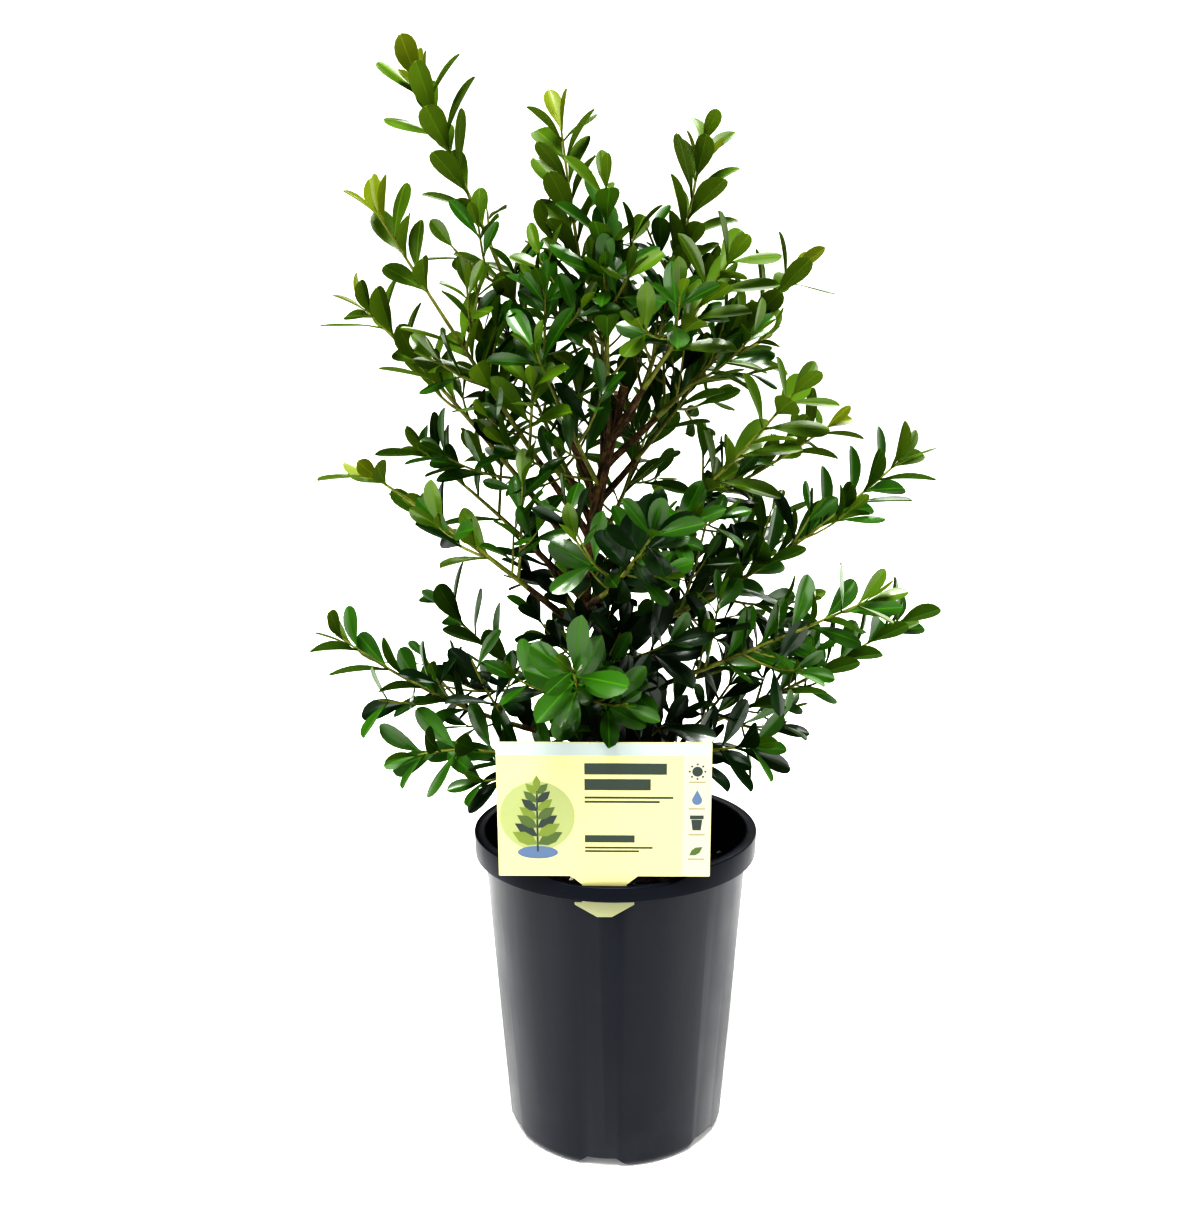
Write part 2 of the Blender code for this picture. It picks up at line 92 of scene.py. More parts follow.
# ---- Floor and studio light ----
# A sheet of white studio card, far wider than the plant, under large soft boxes. The card is lit
# until it is nearly as white as the room around it, and glows a little, which keeps shadows faint.

FLOOR_HALF = 6.0
CARD_WHITE = "f4f4f2"
CARD_GLOW = 0.16
ROOM_WHITE = "ffffff"
ROOM_LIGHT = 0.03
KEY_FROM = Vector((-0.10, -0.60, 1.45))
KEY_STRENGTH = 4.4
KEY_SPREAD = math.radians(28)

# Each soft box: name, place, side, power in watts
SOFT_BOXES = (
    ("front_box", (-0.25, -1.25, 1.30), 0.90, 4),
    ("left_box", (-1.05, -0.75, 0.85), 0.55, 4.5),
    ("right_box", (1.10, -0.60, 0.90), 0.55, 4.5),
    ("back_box", (0.25, 1.15, 1.20), 0.90, 7),
    ("left_card", (-1.30, 0.75, 0.30), 1.00, 3.0),
    ("right_card", (1.30, 0.75, 0.30), 1.00, 3.0),
)
AIM = Vector((0, 0, 0.26))


def colour(code):
    """The linear colour of an sRGB hex code."""
    parts = [int(code[i : i + 2], 16) / 255 for i in (0, 2, 4)]
    linear = [c / 12.92 if c <= 0.04045 else ((c + 0.055) / 1.055) ** 2.4 for c in parts]
    return (*linear, 1)


def feed(tree, node, inputs):
    """Each input is a plain value, a socket to link from, or a node, for its first socket."""
    for name, value in inputs.items():
        value = value.outputs[0] if isinstance(value, bpy.types.Node) else value
        if isinstance(value, bpy.types.NodeSocket):
            tree.links.new(value, node.inputs[name])
        else:
            node.inputs[name].default_value = value


def add_node(tree, kind, inputs=None, **settings):
    made = tree.nodes.new(kind)
    for name, value in settings.items():
        setattr(made, name, value)
    feed(tree, made, inputs or {})
    return made


def new_finish(name, **sockets):
    """A material with a Principled shader, and the shader's own sockets set."""
    made = bpy.data.materials.new(name)
    made.use_nodes = True
    shader = made.node_tree.nodes["Principled BSDF"]
    for socket, value in sockets.items():
        shader.inputs[socket.replace("_", " ")].default_value = value
    return made, made.node_tree, shader


def add_piece(name, mesh, *finishes):
    piece = bpy.data.objects.new(name, mesh)
    bpy.context.scene.collection.objects.link(piece)
    for finish in finishes:
        mesh.materials.append(finish)
    return piece


card, tree, shader = new_finish("matt_studio_card", Roughness=0.9, Emission_Strength=CARD_GLOW)
shader.inputs["Base Color"].default_value = colour(CARD_WHITE)
mesh = bpy.data.meshes.new("studio_floor")
half = FLOOR_HALF
corners = [(-half, -half, 0), (half, -half, 0), (half, half, 0), (-half, half, 0)]
mesh.from_pydata(corners, [], [(0, 1, 2, 3)])
studio_floor = add_piece("studio_floor", mesh, card)

# The key light is a distant lamp behind a wide diffuser, so it lights the whole floor evenly.
key = bpy.data.objects.new("key_light", bpy.data.lights.new("key_light", "SUN"))
bpy.context.scene.collection.objects.link(key)
key.data.energy = KEY_STRENGTH
key.data.angle = KEY_SPREAD
key.rotation_euler = KEY_FROM.to_track_quat("Z", "Y").to_euler()
for name, place, side, power in SOFT_BOXES:
    light = bpy.data.objects.new(name, bpy.data.lights.new(name, "AREA"))
    bpy.context.scene.collection.objects.link(light)
    light.data.energy = power
    light.data.size = side
    light.location = place
    light.rotation_euler = (AIM - Vector(place)).to_track_quat("-Z", "Y").to_euler()

# The room is white where it is seen, and softer where it lights the plant.
room = bpy.data.worlds.new("white_room")
bpy.context.scene.world = room
room.use_nodes = True
tree = room.node_tree
seen = add_node(tree, "ShaderNodeLightPath").outputs["Is Camera Ray"]
strength = add_node(tree, "ShaderNodeMapRange", {"Value": seen, "To Min": ROOM_LIGHT, "To Max": 1.0})
background = tree.nodes["Background"]
background.inputs["Color"].default_value = colour(ROOM_WHITE)
tree.links.new(strength.outputs["Result"], background.inputs["Strength"])
bpy.context.scene.view_settings.view_transform = "Standard"
bpy.context.scene.view_settings.look = "Very High Contrast"


# ---- Nursery pot ----
# A thin-walled round pot with a tapered wall, a flat rim whose lip is turned down, and six sloped
# drainage notches round the foot. It is injection moulded in one piece from black polypropylene.

POT_HEIGHT = 0.154
RIM_RADIUS = 0.070
WALL_TOP_RADIUS = 0.0659
WALL_FOOT_RADIUS = 0.0540
WALL = 0.0014
POT_FLOOR = 0.0020
FOOT_ROUND = 0.0045
LIP_DEPTH = 0.0117
DIP_TURN = math.radians(-88.5)
DIP_DEPTH = 0.0045
DIP_FLOOR = math.radians(17)
DIP_END = math.radians(34)
NOTCHES = 6
NOTCH_TURN = math.radians(-97)
NOTCH_FOOT_WIDTH = 0.027
NOTCH_TOP_WIDTH = 0.014
NOTCH_HEIGHT = 0.0055
NOTCH_DEPTH = 0.013
POT_STEPS = 144

LABEL_TURN = math.radians(-94.3)
LABEL_FACING = math.radians(-90.8)
LABEL_RADIUS = 0.0670
LABEL_LEAN = math.radians(5)
SLOT_SIZE = (0.0212, 0.0056, 0.0017)


def wall_radius(height):
    return WALL_FOOT_RADIUS + (WALL_TOP_RADIUS - WALL_FOOT_RADIUS) * height / POT_HEIGHT


def quarter(radius, height, size, start, steps=4):
    """Points of a rounded corner about a centre, over a quarter turn that falls."""
    turns = [math.radians(start - 90 * i / steps) for i in range(steps + 1)]
    return [(radius + size * math.cos(turn), height + size * math.sin(turn)) for turn in turns]


def turned_mesh(name, profile, steps):
    """A closed solid of revolution from a (radius, height) profile that starts and ends on the axis."""
    form = bmesh.new()
    corners = [form.verts.new((radius, 0, height)) for radius, height in profile]
    edges = [form.edges.new(pair) for pair in zip(corners, corners[1:])]
    turning = {"axis": (0, 0, 1), "cent": (0, 0, 0), "angle": math.tau, "steps": steps}
    bmesh.ops.spin(form, geom=corners + edges, **turning)
    bmesh.ops.remove_doubles(form, verts=form.verts, dist=0.000002)
    bmesh.ops.recalc_face_normals(form, faces=form.faces)
    mesh = bpy.data.meshes.new(name)
    form.to_mesh(mesh)
    form.free()
    return mesh


def block_mesh(name, size, place):
    form = bmesh.new()
    bmesh.ops.create_cube(form, size=1, matrix=place @ Matrix.Diagonal((*size, 1)))
    mesh = bpy.data.meshes.new(name)
    form.to_mesh(mesh)
    form.free()
    return mesh


def label_place():
    """From the label's flat drawing, X across and Y up from the rim, to its place in the slot."""
    out = Vector((math.cos(LABEL_TURN), math.sin(LABEL_TURN), 0)) * LABEL_RADIUS
    face_out = Matrix.Rotation(LABEL_FACING + math.pi / 2, 4, "Z")
    stand = Matrix.Rotation(math.pi / 2 + LABEL_LEAN, 4, "X")
    return Matrix.Translation(out + Vector((0, 0, POT_HEIGHT))) @ face_out @ stand


def settle(piece):
    """Puts the evaluated mesh in place of the piece's own, and clears its modifiers."""
    graph = bpy.context.evaluated_depsgraph_get()
    mesh = bpy.data.meshes.new_from_object(piece.evaluated_get(graph))
    piece.modifiers.clear()
    piece.data = mesh
    return piece


def smooth_by_angle(mesh, degrees):
    mesh.shade_smooth()
    mesh.set_sharp_from_angle(angle=math.radians(degrees))


rim_round = 0.0006
inner = WALL_TOP_RADIUS - WALL
lip_foot = POT_HEIGHT - LIP_DEPTH
under_rim = POT_HEIGHT - WALL
foot_centre = wall_radius(FOOT_ROUND) - FOOT_ROUND
profile = [
    (0, POT_FLOOR),
    (foot_centre - WALL, POT_FLOOR),
    (foot_centre + FOOT_ROUND * 0.7 - WALL, POT_FLOOR + FOOT_ROUND * 0.25),
    (wall_radius(FOOT_ROUND * 1.6) - WALL, POT_FLOOR + FOOT_ROUND),
    (inner, POT_HEIGHT - rim_round * 2),
    (inner + rim_round - rim_round * 0.7, POT_HEIGHT - rim_round * 0.7),
    (inner + rim_round * 2, POT_HEIGHT),
    *quarter(RIM_RADIUS - rim_round, POT_HEIGHT - rim_round, rim_round, 90),
    *quarter(RIM_RADIUS - 0.0003 - rim_round, lip_foot + rim_round, rim_round, 0),
    (RIM_RADIUS - WALL, lip_foot + 0.0002),
    (RIM_RADIUS - WALL, under_rim),
    (wall_radius(under_rim), under_rim),
    *quarter(foot_centre, FOOT_ROUND, FOOT_ROUND, 0, 6),
    (0, 0),
]
pot = add_piece("nursery_pot", turned_mesh("nursery_pot", profile, POT_STEPS))
dip_way = Vector((math.cos(DIP_TURN), math.sin(DIP_TURN), 0))
for vertex in pot.data.vertices:
    if vertex.co.z > POT_HEIGHT - 1.5 * WALL:
        away = Vector((vertex.co.x, vertex.co.y, 0)).angle(dip_way)
        share = min(1, max(0, (DIP_END - away) / (DIP_END - DIP_FLOOR)))
        vertex.co.z -= DIP_DEPTH * share * share * (3 - 2 * share)
cutters = []
for i in range(NOTCHES):
    below = 0.001
    slope = (NOTCH_FOOT_WIDTH - NOTCH_TOP_WIDTH) / NOTCH_HEIGHT
    foot_width = NOTCH_FOOT_WIDTH + slope * below
    middle = NOTCH_HEIGHT - (NOTCH_HEIGHT + below) / 2
    size = (2 * NOTCH_DEPTH, foot_width, NOTCH_HEIGHT + below)
    mesh = block_mesh("notch", size, Matrix.Translation((WALL_FOOT_RADIUS, 0, middle)))
    for vertex in mesh.vertices:
        if vertex.co.z > middle:
            vertex.co.y *= NOTCH_TOP_WIDTH / foot_width
    mesh.transform(Matrix.Rotation(NOTCH_TURN + i * math.tau / NOTCHES, 4, "Z"))
    cutters.append(add_piece(f"notch_{i}", mesh))
through_rim = label_place() @ Matrix.Translation((0, -DIP_DEPTH - WALL / 2, 0))
cutters.append(add_piece("slot", block_mesh("slot", SLOT_SIZE, through_rim)))
for cutter in cutters:
    cut = pot.modifiers.new("Cut", "BOOLEAN")
    cut.operation = "DIFFERENCE"
    cut.object = cutter
soften = pot.modifiers.new("Soften", "BEVEL")
soften.width = 0.00025
soften.segments = 2
soften.limit_method = "ANGLE"
soften.angle_limit = math.radians(50)
settle(pot)
for cutter in cutters:
    bpy.data.objects.remove(cutter)
smooth_by_angle(pot.data, 38)

# Black polypropylene, moulded against a fine-sparked steel tool: a soft sheen that goes pale at a
# glancing angle, a little flow streaking up the wall, and dry smears and dust from the nursery.
polypropylene, tree, shader = new_finish("moulded_black_polypropylene", IOR=1.49)
place = add_node(tree, "ShaderNodeTexCoord").outputs["Object"]
upright = add_node(tree, "ShaderNodeMapping", {"Vector": place, "Scale": (90, 90, 9)})
streaks = add_node(tree, "ShaderNodeTexNoise", {"Vector": upright, "Scale": 1.0, "Detail": 4.0})
blots = {"Vector": place, "Scale": 34.0, "Detail": 6.0, "Roughness": 0.6}
smears = add_node(tree, "ShaderNodeTexNoise", blots)
grain = add_node(tree, "ShaderNodeTexNoise", {"Vector": place, "Scale": 2600.0, "Detail": 2.0})
height = add_node(tree, "ShaderNodeSeparateXYZ", {"Vector": place}).outputs["Z"]
by_foot = {"Value": height, "From Min": 0.0, "From Max": 0.045, "To Min": 0.55, "To Max": 0.12}
dusty = add_node(tree, "ShaderNodeMapRange", by_foot)
smeared = {"Value": smears, "From Min": 0.48, "From Max": 0.78}
patches = add_node(tree, "ShaderNodeMapRange", smeared)
dust = add_node(tree, "ShaderNodeMath", {0: patches, 1: dusty}, operation="MULTIPLY")
dusted = {"Factor": dust, 6: colour("161922"), 7: colour("2f3038")}
tint = add_node(tree, "ShaderNodeMix", dusted, data_type="RGBA")
feed(tree, shader, {"Base Color": tint.outputs[2]})
below_lip = {"Value": height, "From Min": 0.1415, "From Max": 0.1435, "To Min": 0.26, "To Max": 0.13}
gloss = add_node(tree, "ShaderNodeMapRange", below_lip)
both = add_node(tree, "ShaderNodeMath", {0: streaks, 1: smears}, operation="ADD")
worn = {"Value": both, "From Min": 0.55, "From Max": 1.45, "To Min": 0.27, "To Max": 0.41}
sheen = add_node(tree, "ShaderNodeMapRange", worn)
ripple = add_node(tree, "ShaderNodeBump", {"Height": streaks, "Strength": 0.25, "Distance": 0.0006})
fine = {"Height": grain, "Strength": 0.12, "Distance": 0.00008, "Normal": ripple}
spark = add_node(tree, "ShaderNodeBump", fine)
feed(tree, shader, {"Specular IOR Level": gloss, "Roughness": sheen, "Normal": spark})
pot.data.materials.clear()
pot.data.materials.append(polypropylene)
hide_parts("pot")
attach(pot, "root")


# ---- Potting mix ----
# Composted pine bark, dark and damp, that fills the pot to 22 mm below the rim and falls a little
# towards the wall. Loose chips of bark and white grains of perlite lie on it.

MIX_TOP = 0.132
MIX_EDGE_DROP = 0.003
MIX_RELIEF = 0.0022
MIX_RINGS = 44
MIX_STEPS = 120
BED_DEPTH = 0.030


def mix_height(x, y):
    """The top of the mix, lumpy at the size of a fingertip and of a crumb."""
    radius = math.hypot(x, y)
    fall = MIX_EDGE_DROP * max(0, (radius - 0.040) / 0.025) ** 2
    lumps = noise.noise(Vector((x, y, 0.3)) * 60) * 0.6
    crumbs = noise.noise(Vector((x, y, 0.9)) * 260) * 0.4
    return MIX_TOP - fall - MIX_RELIEF * (0.5 - 0.5 * (lumps + crumbs))


form = bmesh.new()
edge = wall_radius(MIX_TOP) - WALL - 0.0003
turns = [math.tau * j / MIX_STEPS for j in range(MIX_STEPS)]
circle = [(math.cos(turn), math.sin(turn)) for turn in turns]
rings = []
for i in range(1, MIX_RINGS + 1):
    radius = edge * i / MIX_RINGS
    spots = [(radius * x, radius * y) for x, y in circle]
    rings.append([form.verts.new((x, y, mix_height(x, y))) for x, y in spots])
foot = MIX_TOP - BED_DEPTH
foot_edge = wall_radius(foot) - WALL - 0.0003
rings.append([form.verts.new((foot_edge * x, foot_edge * y, foot)) for x, y in circle])
middle = form.verts.new((0, 0, mix_height(0, 0)))
for j in range(MIX_STEPS):
    k = (j + 1) % MIX_STEPS
    form.faces.new((middle, rings[0][j], rings[0][k]))
    for near, far in zip(rings, rings[1:]):
        form.faces.new((near[j], far[j], far[k], near[k]))
form.faces.new(list(reversed(rings[-1])))
bmesh.ops.recalc_face_normals(form, faces=form.faces)
mesh = bpy.data.meshes.new("potting_mix_bed")
form.to_mesh(mesh)
form.free()
mesh.shade_smooth()


def crumbly_finish(name, roughness, scale, detail, dark, pale):
    """A loose material whose colour runs between two stops, each a level of the noise and a colour."""
    made, tree, shader = new_finish(name, Roughness=roughness)
    place = add_node(tree, "ShaderNodeTexCoord").outputs["Object"]
    crumbs = add_node(tree, "ShaderNodeTexNoise", {"Vector": place, "Scale": scale, "Detail": detail})
    tint = add_node(tree, "ShaderNodeValToRGB", {"Fac": crumbs})
    for stop, (level, code) in zip(tint.color_ramp.elements, (dark, pale)):
        stop.position = level
        stop.color = colour(code)
    feed(tree, shader, {"Base Color": tint})
    return made, tree, shader, crumbs


# Damp composted bark: nearly black, with brown fibres, rough all over.
compost, tree, shader, crumbs = crumbly_finish(
    "damp_bark_compost", 0.92, 420.0, 6.0, (0.35, "0b0907"), (0.75, "231a13")
)
crumbs.inputs["Roughness"].default_value = 0.7
rough = add_node(tree, "ShaderNodeBump", {"Height": crumbs, "Strength": 0.8, "Distance": 0.0008})
feed(tree, shader, {"Normal": rough})
bed = add_piece("potting_mix_bed", mesh, compost)
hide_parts("potting_mix")
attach(bed, "root")

# Pine bark chips, brown with paler torn edges, and perlite, a white foamed glass.
chip_finish = crumbly_finish("shredded_pine_bark", 0.85, 700.0, 4.0, (0.3, "0f0b08"), (0.8, "33251a"))[0]
perlite_finish = crumbly_finish("white_perlite", 0.8, 1500.0, 2.0, (0.0, "b9b6ac"), (1.0, "efeee8"))[0]


def new_tree(name, **sockets):
    """A geometry node tree with a Geometry input and output, and one named input for each size."""
    made = bpy.data.node_groups.new(name, "GeometryNodeTree")
    made.interface.new_socket("Geometry", in_out="INPUT", socket_type="NodeSocketGeometry")
    for socket, kind in sockets.items():
        made.interface.new_socket(socket.replace("_", " "), in_out="INPUT", socket_type=f"NodeSocket{kind}")
    made.interface.new_socket("Geometry", in_out="OUTPUT", socket_type="NodeSocketGeometry")
    return made, made.nodes.new("NodeGroupInput").outputs


def close_tree(tree, last):
    tree.links.new(last.outputs[0], tree.nodes.new("NodeGroupOutput").inputs[0])


def grown_piece(name, guide, tree, **values):
    """The plain mesh that a node tree makes from its guide."""
    piece = add_piece(name, guide)
    modifier = piece.modifiers.new("Made by rule", "NODES")
    modifier.node_group = tree
    for item in tree.interface.items_tree:
        if item.item_type == "SOCKET" and item.in_out == "INPUT" and item.name != "Geometry":
            modifier[item.identifier] = values[item.name.replace(" ", "_")]
    return settle(piece)


def stock_of(name, meshes):
    """A collection of loose shapes that a tree picks from."""
    stock = bpy.data.collections.new(name)
    bpy.context.scene.collection.children.link(stock)
    for i, shape in enumerate(meshes):
        stock.objects.link(bpy.data.objects.new(f"{name}_{i}", shape))
    return stock


def clear_stock(stock):
    for obj in list(stock.objects):
        bpy.data.objects.remove(obj)
    bpy.data.collections.remove(stock)


SCATTER_SIZES = ("Density", "Reach", "Smallest", "Largest")
floats = dict.fromkeys(SCATTER_SIZES, "Float")
scatter, given = new_tree("Scatter", Seed="Int", Stock="Collection", Finish="Material", **floats)
position = add_node(scatter, "GeometryNodeInputPosition").outputs[0]
spread = add_node(scatter, "ShaderNodeVectorMath", {0: position, 1: (1, 1, 0)}, operation="MULTIPLY")
reach = add_node(scatter, "ShaderNodeVectorMath", {0: spread}, operation="LENGTH").outputs["Value"]
inside = add_node(scatter, "FunctionNodeCompare", {0: reach, 1: given["Reach"]}, operation="LESS_THAN")
normal = add_node(scatter, "GeometryNodeInputNormal").outputs[0]
up = add_node(scatter, "ShaderNodeSeparateXYZ", {0: normal}).outputs["Z"]
on_top = add_node(scatter, "FunctionNodeCompare", {0: up, 1: 0.2}, operation="GREATER_THAN")
chosen = add_node(scatter, "FunctionNodeBooleanMath", {0: inside, 1: on_top}, operation="AND")
sown = {"Mesh": given["Geometry"], "Selection": chosen, "Density": given["Density"], "Seed": given["Seed"]}
spots = add_node(scatter, "GeometryNodeDistributePointsOnFaces", sown)
leaning = {0: (-0.5, -0.5, 0.0), 1: (0.5, 0.5, math.tau), "Seed": given["Seed"]}
tilt = add_node(scatter, "FunctionNodeRandomValue", leaning, data_type="FLOAT_VECTOR")
sized = {2: given["Smallest"], 3: given["Largest"], "Seed": given["Seed"]}
scale = add_node(scatter, "FunctionNodeRandomValue", sized, data_type="FLOAT").outputs[1]
picked = {"Collection": given["Stock"], "Separate Children": True, "Reset Children": True}
shapes = add_node(scatter, "GeometryNodeCollectionInfo", picked)
turn = add_node(scatter, "FunctionNodeEulerToRotation", {0: tilt})
laid = {"Points": spots, "Instance": shapes, "Pick Instance": True, "Rotation": turn, "Scale": scale}
strewn = add_node(scatter, "GeometryNodeInstanceOnPoints", laid)
real = add_node(scatter, "GeometryNodeRealizeInstances", {"Geometry": strewn})
coloured = {"Geometry": real, "Material": given["Finish"]}
close_tree(scatter, add_node(scatter, "GeometryNodeSetMaterial", coloured))

chips = []
rng = random.Random(3)
for length, width, height in ((1, 0.55, 0.22), (1, 0.35, 0.28), (0.8, 0.7, 0.18)):
    shape = block_mesh("chip", (length, width, height), Matrix())
    form = bmesh.new()
    form.from_mesh(shape)
    long_edges = [e for e in form.edges if abs((e.verts[0].co - e.verts[1].co).x) > 0.5]
    bmesh.ops.subdivide_edges(form, edges=long_edges, cuts=2)
    for vertex in form.verts:
        vertex.co += Vector([rng.uniform(-0.07, 0.07) for _ in range(3)])
        vertex.co.y *= 1 - 0.5 * abs(vertex.co.x)
    form.to_mesh(shape)
    form.free()
    chips.append(shape)
grains = []
for _ in range(3):
    form = bmesh.new()
    bmesh.ops.create_icosphere(form, subdivisions=1, radius=0.5)
    for vertex in form.verts:
        vertex.co *= rng.uniform(0.75, 1.1)
        vertex.co.z *= 0.8
    shape = bpy.data.meshes.new("grain")
    form.to_mesh(shape)
    form.free()
    grains.append(shape)
# Each kind: its name, shapes, finish and seed, and its sizes in the order named above
for name, shapes, finish, seed, sizes in (
    ("bark_chips", chips, chip_finish, 4, (52000, 0.057, 0.0030, 0.0085)),
    ("perlite_grains", grains, perlite_finish, 9, (9000, 0.0605, 0.0014, 0.0040)),
):
    stock = stock_of(name, shapes)
    sizes = dict(zip(SCATTER_SIZES, sizes))
    piece = grown_piece(name, bed.data.copy(), scatter, Seed=seed, Stock=stock, Finish=finish, **sizes)
    clear_stock(stock)
    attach(piece, "root")


# ---- Plant label ----
# A die-cut sheet of white polypropylene, half a millimetre thick, printed and pushed through the
# slot in the rim, where the shoulders of its arrow catch under the lip. The print is a plain
# sprig, bars in place of words, and four care signs.

LABEL_WIDTH = 0.0944
LABEL_HEIGHT = 0.0640
LABEL_THICKNESS = 0.0005
NECK_TOP_WIDTH = 0.0300
NECK_WIDTH = 0.0200
ARROW_WIDTH = 0.0268
ARROW_TIP_WIDTH = 0.0065
ARROW_LENGTH = 0.0075
LABEL_CORNER = 0.0004
INK_STEP = 0.00002

INKS = {
    "panel": "bdb884",
    # The arrow's ink is darker than the panel's: painted shade of the rim's lip over the arrow.
    "tab": "92946e",
    "cream": "a8a696",
    "sky": "9ea8a4",
    "pale": "929a64",
    "dark": "1c2f22",
    "leaf": "45591c",
    "lime": "697922",
    "blue": "506581",
    "sand": "8c865f",
}


class Drawing:
    """Flat closed patches on the label's face, each a printed layer above the last."""

    def __init__(self):
        self.form = bmesh.new()
        self.inks = list(INKS)

    def patch(self, points, ink, layer, low=None):
        """One patch from an outline in mm that runs counter-clockwise."""
        base = LABEL_THICKNESS / 2
        top = base + layer * INK_STEP
        low = base - INK_STEP if low is None else low
        rings = [[self.form.verts.new((x / 1000, y / 1000, z)) for x, y in points] for z in (low, top)]
        faces = [self.form.faces.new(list(reversed(rings[0]))), self.form.faces.new(rings[1])]
        for i in range(len(points)):
            j = (i + 1) % len(points)
            faces.append(self.form.faces.new((rings[0][i], rings[0][j], rings[1][j], rings[1][i])))
        for face in faces:
            face.material_index = self.inks.index(ink)

    def bar(self, x, y, width, height, ink, layer):
        self.patch([(x, y), (x + width, y), (x + width, y + height), (x, y + height)], ink, layer)

    def disc(self, x, y, radius, ink, layer, steps=28, flat=1.0):
        turns = [math.tau * i / steps for i in range(steps)]
        self.patch([(x + radius * math.cos(t), y + radius * flat * math.sin(t)) for t in turns], ink, layer)

    def leaf(self, x, y, length, turn, ink, layer):
        """A pointed oval that leaves (x, y) at an angle in degrees."""
        shape = ((0, 0), (0.3, -0.2), (0.62, -0.22), (1, 0), (0.62, 0.22), (0.3, 0.2))
        c, s = math.cos(math.radians(turn)), math.sin(math.radians(turn))
        turned = [(u * c - v * s, u * s + v * c) for u, v in shape]
        self.patch([(x + length * u, y + length * v) for u, v in turned], ink, layer)


half = LABEL_WIDTH * 500
foot = 0
head = LABEL_HEIGHT * 1000
shoulder = -LIP_DEPTH * 1000 - 1.2
corner = LABEL_CORNER * 1000
right = [
    (half - corner, head),
    (half, head - corner),
    (half, foot + corner),
    (half - corner, foot),
    (NECK_TOP_WIDTH * 500, foot),
    (NECK_WIDTH * 500, 0.3 - DIP_DEPTH * 1000),
    (NECK_WIDTH * 500, shoulder),
    (ARROW_WIDTH * 500, shoulder),
    (ARROW_WIDTH * 500, shoulder - 1.2),
    (ARROW_TIP_WIDTH * 500, shoulder - ARROW_LENGTH * 1000),
]
sheet = Drawing()
outline = [(-x, y) for x, y in right] + [(x, y) for x, y in reversed(right)]
sheet.patch(outline, "panel", 0, -LABEL_THICKNESS / 2)
# The arrow below the rim is printed in that darker ink, as painted shade of the lip.
arrow = [(x - 0.2, y) for x, y in right[-3:]]
sheet.patch([(-x, y) for x, y in arrow] + [(x, y) for x, y in reversed(arrow)], "tab", 1)
inset = 0.25
sheet.bar(-half + inset, head - 6.2, 2 * half - 2 * inset, 6.2 - inset, "sky", 1)
sheet.bar(half - 12.5, foot + inset, 12.5 - inset, LABEL_HEIGHT * 1000 - 2 * inset - 6.0, "cream", 2)
sheet.disc(-29.5, 29.0, 16.6, "pale", 1, 48)
sheet.disc(-29.5, 11.6, 9.0, "blue", 2, 32, 0.34)
sheet.bar(-29.9, 12.0, 0.8, 29.0, "dark", 3)
for i in range(7):
    size = 12.5 - 0.9 * i
    for side in (-1, 1):
        ink = ("leaf", "lime", "dark")[(i + (side > 0)) % 3]
        sheet.leaf(-29.5, 15.5 + 4.0 * i, size, 90 + side * (62 - 3 * i), ink, 4 + (i + (side > 0)) % 2)
sheet.leaf(-29.5, 41.0, 7.5, 90, "lime", 6)
for x, y, width, height in (
    (-8.5, 49.0, 36.0, 5.2),
    (-8.5, 41.6, 29.0, 5.2),
    (-8.5, 37.6, 39.0, 0.9),
    (-8.5, 35.6, 33.0, 0.9),
    (-8.5, 16.6, 22.0, 3.4),
    (-8.5, 13.6, 30.0, 0.8),
    (-8.5, 11.9, 24.0, 0.8),
):
    sheet.bar(x, y, width, height, "dark", 3)
signs_x = half - 6.3
sheet.disc(signs_x, 50.5, 2.3, "dark", 4, 20)
for i in range(8):
    turn = math.tau * i / 8
    x, y = signs_x + 3.4 * math.cos(turn), 50.5 + 3.4 * math.sin(turn)
    sheet.disc(x, y, 0.45, "dark", 4, 8)
sheet.disc(signs_x, 37.0, 2.2, "blue", 4, 20)
sheet.patch([(signs_x - 1.75, 38.3), (signs_x + 1.75, 38.3), (signs_x, 41.8)], "blue", 5)
sheet.bar(signs_x - 3.0, 28.0, 6.0, 1.7, "dark", 4)
pot_sign = ((-1.8, 22.7), (1.8, 22.7), (2.4, 27.7), (-2.4, 27.7))
sheet.patch([(signs_x + x, y) for x, y in pot_sign], "dark", 5)
sheet.leaf(signs_x - 3.0, 10.5, 7.0, 35, "leaf", 4)
for y in (45.2, 32.6, 20.2, 8.3):
    sheet.bar(signs_x - 3.6, y, 7.2, 0.6, "sand", 4)
mesh = bpy.data.meshes.new("label_card")
sheet.form.to_mesh(mesh)
sheet.form.free()
mesh.transform(label_place())
label = add_piece("label_card", mesh)

# Printed polypropylene sheet: flat inks under a thin varnish, with a soft sheen.
varnish = {"Roughness": 0.42, "Coat_Weight": 0.25, "Coat_Roughness": 0.25}
for ink, code in INKS.items():
    printed, tree, shader = new_finish(f"varnished_{ink}_ink", **varnish)
    place = add_node(tree, "ShaderNodeTexCoord").outputs["Object"]
    mottle = add_node(tree, "ShaderNodeTexNoise", {"Vector": place, "Scale": 900.0, "Detail": 2.0})
    dark = [c * 0.93 for c in colour(code)[:3]]
    mottled = {"Factor": mottle, 6: (*dark, 1), 7: colour(code)}
    tint = add_node(tree, "ShaderNodeMix", mottled, data_type="RGBA")
    feed(tree, shader, {"Base Color": tint.outputs[2]})
    label.data.materials.append(printed)
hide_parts("plant_label")
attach(label, "root")


# ---- Trunk and boughs ----
# One leaning stem, pruned at the top, from which the boughs rise. The bark of young boxwood is thin
# and brown, with fine lengthwise cracks; the cuts show pale wood.

